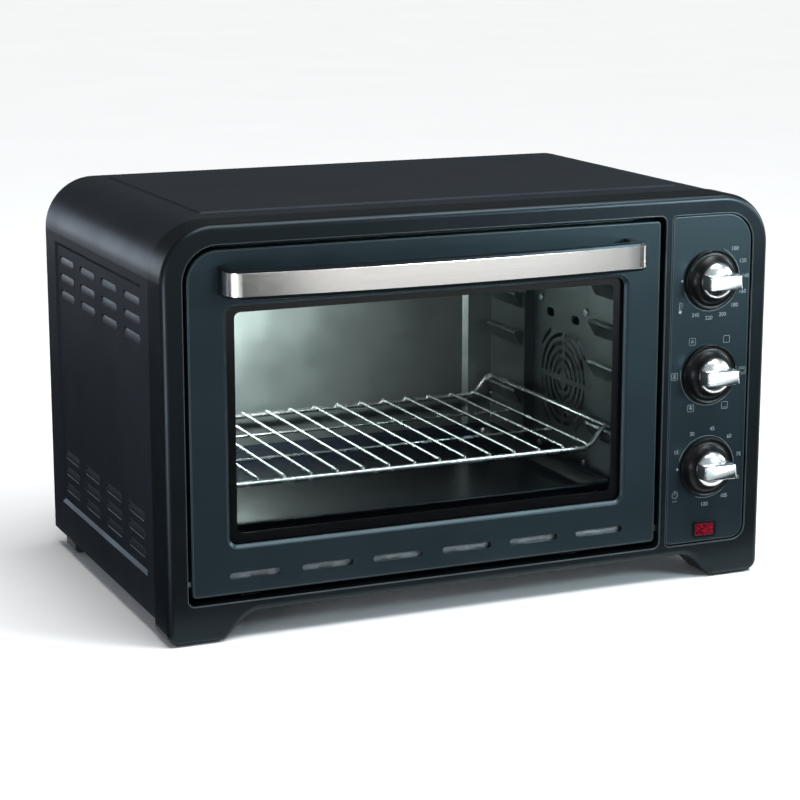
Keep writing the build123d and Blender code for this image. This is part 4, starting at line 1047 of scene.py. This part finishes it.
CAVITY_NODES = (
    "cavity_left_wall",
    "cavity_right_wall",
    "cavity_back_wall",
    "cavity_roof",
    "cavity_floor",
    "cavity_front_frame",
    "cavity_supports",
    "fan_housing",
    "fan_screws",
    "fan_motor",
    "fan_shaft",
    "fan_blade",
    "rotisserie_motor",
    "spit_drive_socket",
)
HEATER_NODES = (
    "upper_heater_front",
    "upper_heater_rear",
    "lower_heater_front",
    "lower_heater_rear",
    "heater_insulators",
)


class OVEN_OT_cavity(bpy.types.Operator):
    """Finish the cavity walls, the fan and the spit drive"""

    bl_idname = "oven.cavity"
    bl_label = "Cavity"

    def execute(self, context):
        finish_nodes(*CAVITY_NODES)
        return {"FINISHED"}


class OVEN_OT_heaters(bpy.types.Operator):
    """Finish the four heating elements and their insulators"""

    bl_idname = "oven.heaters"
    bl_label = "Heaters"

    def execute(self, context):
        finish_nodes(*HEATER_NODES)
        return {"FINISHED"}


class OVEN_OT_rack(bpy.types.Operator):
    """Build the wire rack from bent wires"""

    bl_idname = "oven.rack"
    bl_label = "Wire rack"

    def execute(self, context):
        size = sizes()
        low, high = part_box("wire_rack")
        rail = size.rail_radius
        rod = size.rod_radius
        top = high.z - rail
        grid = low.z + rail + 0.3 * MM
        left = low.x + rail
        right = high.x - rail
        front = low.y + rail
        back = high.y - rail
        step = 19 * MM
        bm = bmesh.new()
        for y in (front, back):
            points = [(left, y, top), (left + 5 * MM, y, top), (left + step, y, grid)]
            points += [(right - step, y, grid), (right - 5 * MM, y, top), (right, y, top)]
            wire(bm, softened(points, 9 * MM), rail)
        for x in (left, right):
            wire(bm, softened([(x, front, top), (x, back, top)], 1 * MM), rail)
        span = right - left - 2 * step - 4 * MM
        lift = grid + size.rod_lift
        for i in range(size.rods):
            x = left + step + 2 * MM + span * i / (size.rods - 1)
            points = [(x, front, grid + rail * 0.6), (x, front + 0.4 * MM, lift), (x, back - 0.4 * MM, lift)]
            points += [(x, back, grid + rail * 0.6)]
            wire(bm, softened(points, 2.4 * MM), rod, 8)
        for share in (0.31, 0.66):
            y = front + (back - front) * share
            path = [(left + step, y, lift - 2 * rod + 0.3 * MM), (right - step, y, lift - 2 * rod + 0.3 * MM)]
            wire(bm, softened(path, 1 * MM), rod, 8)
        made = piece("wire_rack_bent", bm, "rack", "rack_chrome", sharp=50)
        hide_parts("wire_rack")
        return {"FINISHED"}


class OVEN_OT_tray(bpy.types.Operator):
    """Build the drip tray with its rolled rim"""

    bl_idname = "oven.tray"
    bl_label = "Drip tray"

    def execute(self, context):
        size = sizes()
        low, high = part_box("drip_tray")
        centre = (low + high) / 2
        width = high.x - low.x
        depth = high.y - low.y
        rim = high.z - 1.0 * MM
        floor = low.z
        wall = size.tray_wall

        def ring(inset, z, radius):
            flat = outline(width - 2 * inset, depth - 2 * inset, radius, 10)
            return [(centre.x + u, centre.y + v, z) for u, v in flat]

        roll = 0.9 * MM
        rings = []
        for step in range(7):
            angle = math.pi * (step / 6)
            rings.append(ring(roll - roll * math.sin(angle), rim - roll * math.cos(angle), 9 * MM))
        rings += [ring(2.4 * MM, rim, 9 * MM), ring(9.6 * MM, rim - 0.4 * MM, 12 * MM)]
        rings += [ring(11.2 * MM, rim - 1.6 * MM, 13 * MM), ring(12.8 * MM, floor + 3 * MM, 14 * MM)]
        rings += [ring(14 * MM, floor + wall + 0.6 * MM, 15 * MM), ring(17 * MM, floor + wall, 16 * MM)]
        rings += [ring(26 * MM, floor + wall, 18 * MM), ring(29 * MM, floor + wall + 0.8 * MM, 20 * MM)]
        bm = bmesh.new()
        under = [ring(29 * MM, floor + 0.8 * MM, 20 * MM), ring(26 * MM, floor, 18 * MM), ring(17 * MM, floor, 16 * MM)]
        under += [ring(13.2 * MM, floor + 0.8 * MM, 15 * MM), ring(10.4 * MM, rim - 2 * MM, 13 * MM)]
        under += [ring(8.6 * MM, rim - 1.4 * MM, 12 * MM), ring(2.4 * MM, rim - 1.2 * MM, 9 * MM)]
        loft(bm, under + rings)
        made = piece("drip_tray_pressed", bm, "tray", "tray_enamel", sharp=40)
        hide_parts("drip_tray")
        return {"FINISHED"}


# ---- stage ------------------------------------------------------------------------------


def soft_light(name, place, aim, size, power, colour="#ffffff"):
    """A square soft light that points at a spot and is not seen itself."""
    lamp = bpy.data.lights.new(name, "AREA")
    lamp.shape = "RECTANGLE"
    lamp.size, lamp.size_y = size
    lamp.energy = power
    lamp.color = linear(colour)
    holder = bpy.data.objects.new(name, lamp)
    holder.location = place
    holder.rotation_euler = (Vector(aim) - Vector(place)).to_track_quat("-Z", "Y").to_euler()
    holder.visible_camera = False
    bpy.context.scene.collection.objects.link(holder)
    return holder


def studio_world():
    """A dim surround, brighter ahead of the oven than behind it, which the camera itself sees as a pale backdrop."""
    world = bpy.data.worlds.new("studio")
    bpy.context.scene.world = world
    world.use_nodes = True
    tree = world.node_tree
    around = tree.nodes["Background"]
    around.inputs["Color"].default_value = (*linear("#dfe8ee"), 1)
    place = add(tree, "ShaderNodeTexCoord")
    parts = add(tree, "ShaderNodeSeparateXYZ", {"Vector": place.outputs["Generated"]})
    inputs = {"Value": parts.outputs["Y"], "From Min": -0.7, "From Max": 0.5, "To Min": 0.5, "To Max": 0.09}
    ramp = add(tree, "ShaderNodeMapRange", inputs)
    path = add(tree, "ShaderNodeLightPath")
    seen = add(tree, "ShaderNodeMix", {0: path.outputs["Is Camera Ray"], 2: ramp.outputs["Result"], 3: 1.3})
    tree.links.new(seen.outputs[0], around.inputs["Strength"])


def flag(name, corners, colour):
    """A card on the floor that keeps the coated faces and the glass dark.

    It is clear to a ray until the ray has been mirrored once, so it shows only in reflections.
    """
    mesh = bpy.data.meshes.new(name)
    corners = [(x, y, 0.003) for x, y in corners]
    mesh.from_pydata(corners, [], [tuple(range(len(corners)))])
    material = bpy.data.materials.new(name)
    material.use_nodes = True
    tree = material.node_tree
    path = add(tree, "ShaderNodeLightPath")
    clear = add(tree, "ShaderNodeBsdfTransparent")
    glow = add(tree, "ShaderNodeEmission", {"Color": (*linear(colour), 1)})
    inputs = {0: path.outputs["Glossy Depth"], 1: clear.outputs["BSDF"], 2: glow.outputs["Emission"]}
    seen = add(tree, "ShaderNodeMixShader", inputs)
    tree.links.new(seen.outputs["Shader"], tree.nodes["Material Output"].inputs["Surface"])
    mesh.materials.append(material)
    card = bpy.data.objects.new(name, mesh)
    bpy.context.scene.collection.objects.link(card)
    card.visible_camera = False
    card.visible_diffuse = False
    card.visible_shadow = False


def studio_floor():
    """A pale, matt floor."""
    bm = bmesh.new()
    half = 40.0
    corners = [(-half, -half), (half, -half), (half, half), (-half, half)]
    bm.faces.new([bm.verts.new((x, y, 0)) for x, y in corners])
    mesh = bpy.data.meshes.new("floor")
    bm.to_mesh(mesh)
    bm.free()
    material, tree, shader = begin("matt_floor_paint", linear("#f4f4f3"), 0.8, Specular_IOR_Level=0.1)
    vary(tree, shader, tone=((400, 3), 0.01))
    mesh.materials.append(material)
    floor = bpy.data.objects.new("floor", mesh)
    bpy.context.scene.collection.objects.link(floor)


def studio_camera():
    """The camera, looking slightly down at the oven's left front."""
    stage = bpy.context.scene.oven_stage
    lens = bpy.data.cameras.new("camera")
    lens.lens = stage.lens
    lens.sensor_width = 36
    lens.clip_end = 50
    camera = bpy.data.objects.new("camera", lens)
    aim = Vector((-0.005, -0.002, 0.152))
    flat = math.cos(stage.elevation)
    back = Vector((-math.sin(stage.azimuth) * flat, -math.cos(stage.azimuth) * flat, math.sin(stage.elevation)))
    camera.location = aim + back * stage.distance
    camera.rotation_euler = (math.pi / 2 - stage.elevation, 0, -stage.azimuth)
    bpy.context.scene.collection.objects.link(camera)
    bpy.context.scene.camera = camera


class OVEN_OT_stage(bpy.types.Operator):
    """Set up the floor, the studio light and the camera"""

    bl_idname = "oven.stage"
    bl_label = "Stage"

    def execute(self, context):
        stage = context.scene.oven_stage
        context.scene.view_settings.view_transform = "Standard"
        studio_world()
        studio_floor()
        studio_camera()
        sky = bpy.data.lights.new("sky", "SUN")
        sky.energy = stage.sky
        sky.angle = math.radians(38)
        sky.specular_factor = 0.0
        holder = bpy.data.objects.new("sky", sky)
        holder.rotation_euler = (math.radians(8), math.radians(6), 0)
        context.scene.collection.objects.link(holder)
        flag("front_flag", [(-0.42, -0.22), (-0.42, -1.74), (1.45, -1.46), (1.3, -0.22)], "#10171c")
        flag("near_flag", [(-1.6, -1.75), (-1.6, -3.2), (0.2, -3.0), (0.2, -1.65)], "#444d4a")
        flag("right_flag", [(1.4, -0.3), (1.4, -2.3), (3.4, -2.3), (3.4, -0.3)], "#2f3032")
        flag("left_flag", [(-2.6, -0.24), (-0.285, -0.24), (-0.285, 3.4), (-2.6, 3.4)], "#242b32")
        soft_light("right", (1.9, -0.5, 0.8), (0.1, -0.16, 0.16), (0.3, 0.6), stage.key, "#f2fbff")
        soft_light("overhead", (0.75, -0.85, 1.75), (0, -0.16, 0.15), (0.6, 0.45), stage.key * 1.2, "#f2fbff")
        beam = soft_light("panel", (0.74, -0.96, 0.56), (0.25, -0.16, 0.4), (0.3, 0.2), stage.fill * 0.7, "#d6eef6")
        beam.data.spread = math.radians(60)
        soft_light("left", (-0.95, -0.62, 0.1), (-0.28, -0.19, 0.12), (0.35, 0.2), stage.fill * 1.9, "#e2dff0")
        soft_light("back_left", (-1.25, 2.0, 0.42), (-0.28, 0.0, 0.2), (0.9, 0.5), stage.fill * 1.7, "#d5e6f5")
        low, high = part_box("cavity_roof")
        place = (low.x + 0.07, low.y + 0.1, low.z - 0.03)
        lamp = soft_light("cavity", place, (low.x + 0.09, high.y, low.z - 0.06), (0.1, 0.03), stage.inside, "#f7f8f2")
        lamp.data.spread = math.radians(125)
        return {"FINISHED"}


class OVEN_PT_panel(bpy.types.Panel):
    """Lists the pieces of the oven"""

    bl_idname = "OVEN_PT_panel"
    bl_label = "Rotisserie oven"
    bl_space_type = "VIEW_3D"
    bl_region_type = "UI"
    bl_category = "Oven"

    def draw(self, context):
        for operator in OPERATORS:
            self.layout.operator(operator.bl_idname)
        for group in ("oven_sizes", "oven_colours", "oven_stage"):
            settings_group = getattr(context.scene, group)
            for key in settings_group.__annotations__:
                self.layout.prop(settings_group, key)


OPERATORS = (
    OVEN_OT_casing,
    OVEN_OT_louvres,
    OVEN_OT_front,
    OVEN_OT_door,
    OVEN_OT_handle,
    OVEN_OT_knobs,
    OVEN_OT_scales,
    OVEN_OT_cavity,
    OVEN_OT_heaters,
    OVEN_OT_rack,
    OVEN_OT_tray,
    OVEN_OT_stage,
)
GROUPS = {"oven_sizes": OvenSizes, "oven_colours": OvenColours, "oven_stage": OvenStage}


def register():
    for group in GROUPS.values():
        bpy.utils.register_class(group)
    for operator in OPERATORS:
        bpy.utils.register_class(operator)
    bpy.utils.register_class(OVEN_PT_panel)
    for key, group in GROUPS.items():
        setattr(bpy.types.Scene, key, bpy.props.PointerProperty(type=group))


def unregister():
    for key in GROUPS:
        delattr(bpy.types.Scene, key)
    bpy.utils.unregister_class(OVEN_PT_panel)
    for operator in reversed(OPERATORS):
        bpy.utils.unregister_class(operator)
    for group in reversed(GROUPS.values()):
        bpy.utils.unregister_class(group)


def main():
    """Builds everything."""
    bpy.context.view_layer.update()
    register()
    for operator in OPERATORS:
        group, name = operator.bl_idname.split(".")
        getattr(getattr(bpy.ops, group), name)()


if __name__ == "__main__":
    main()
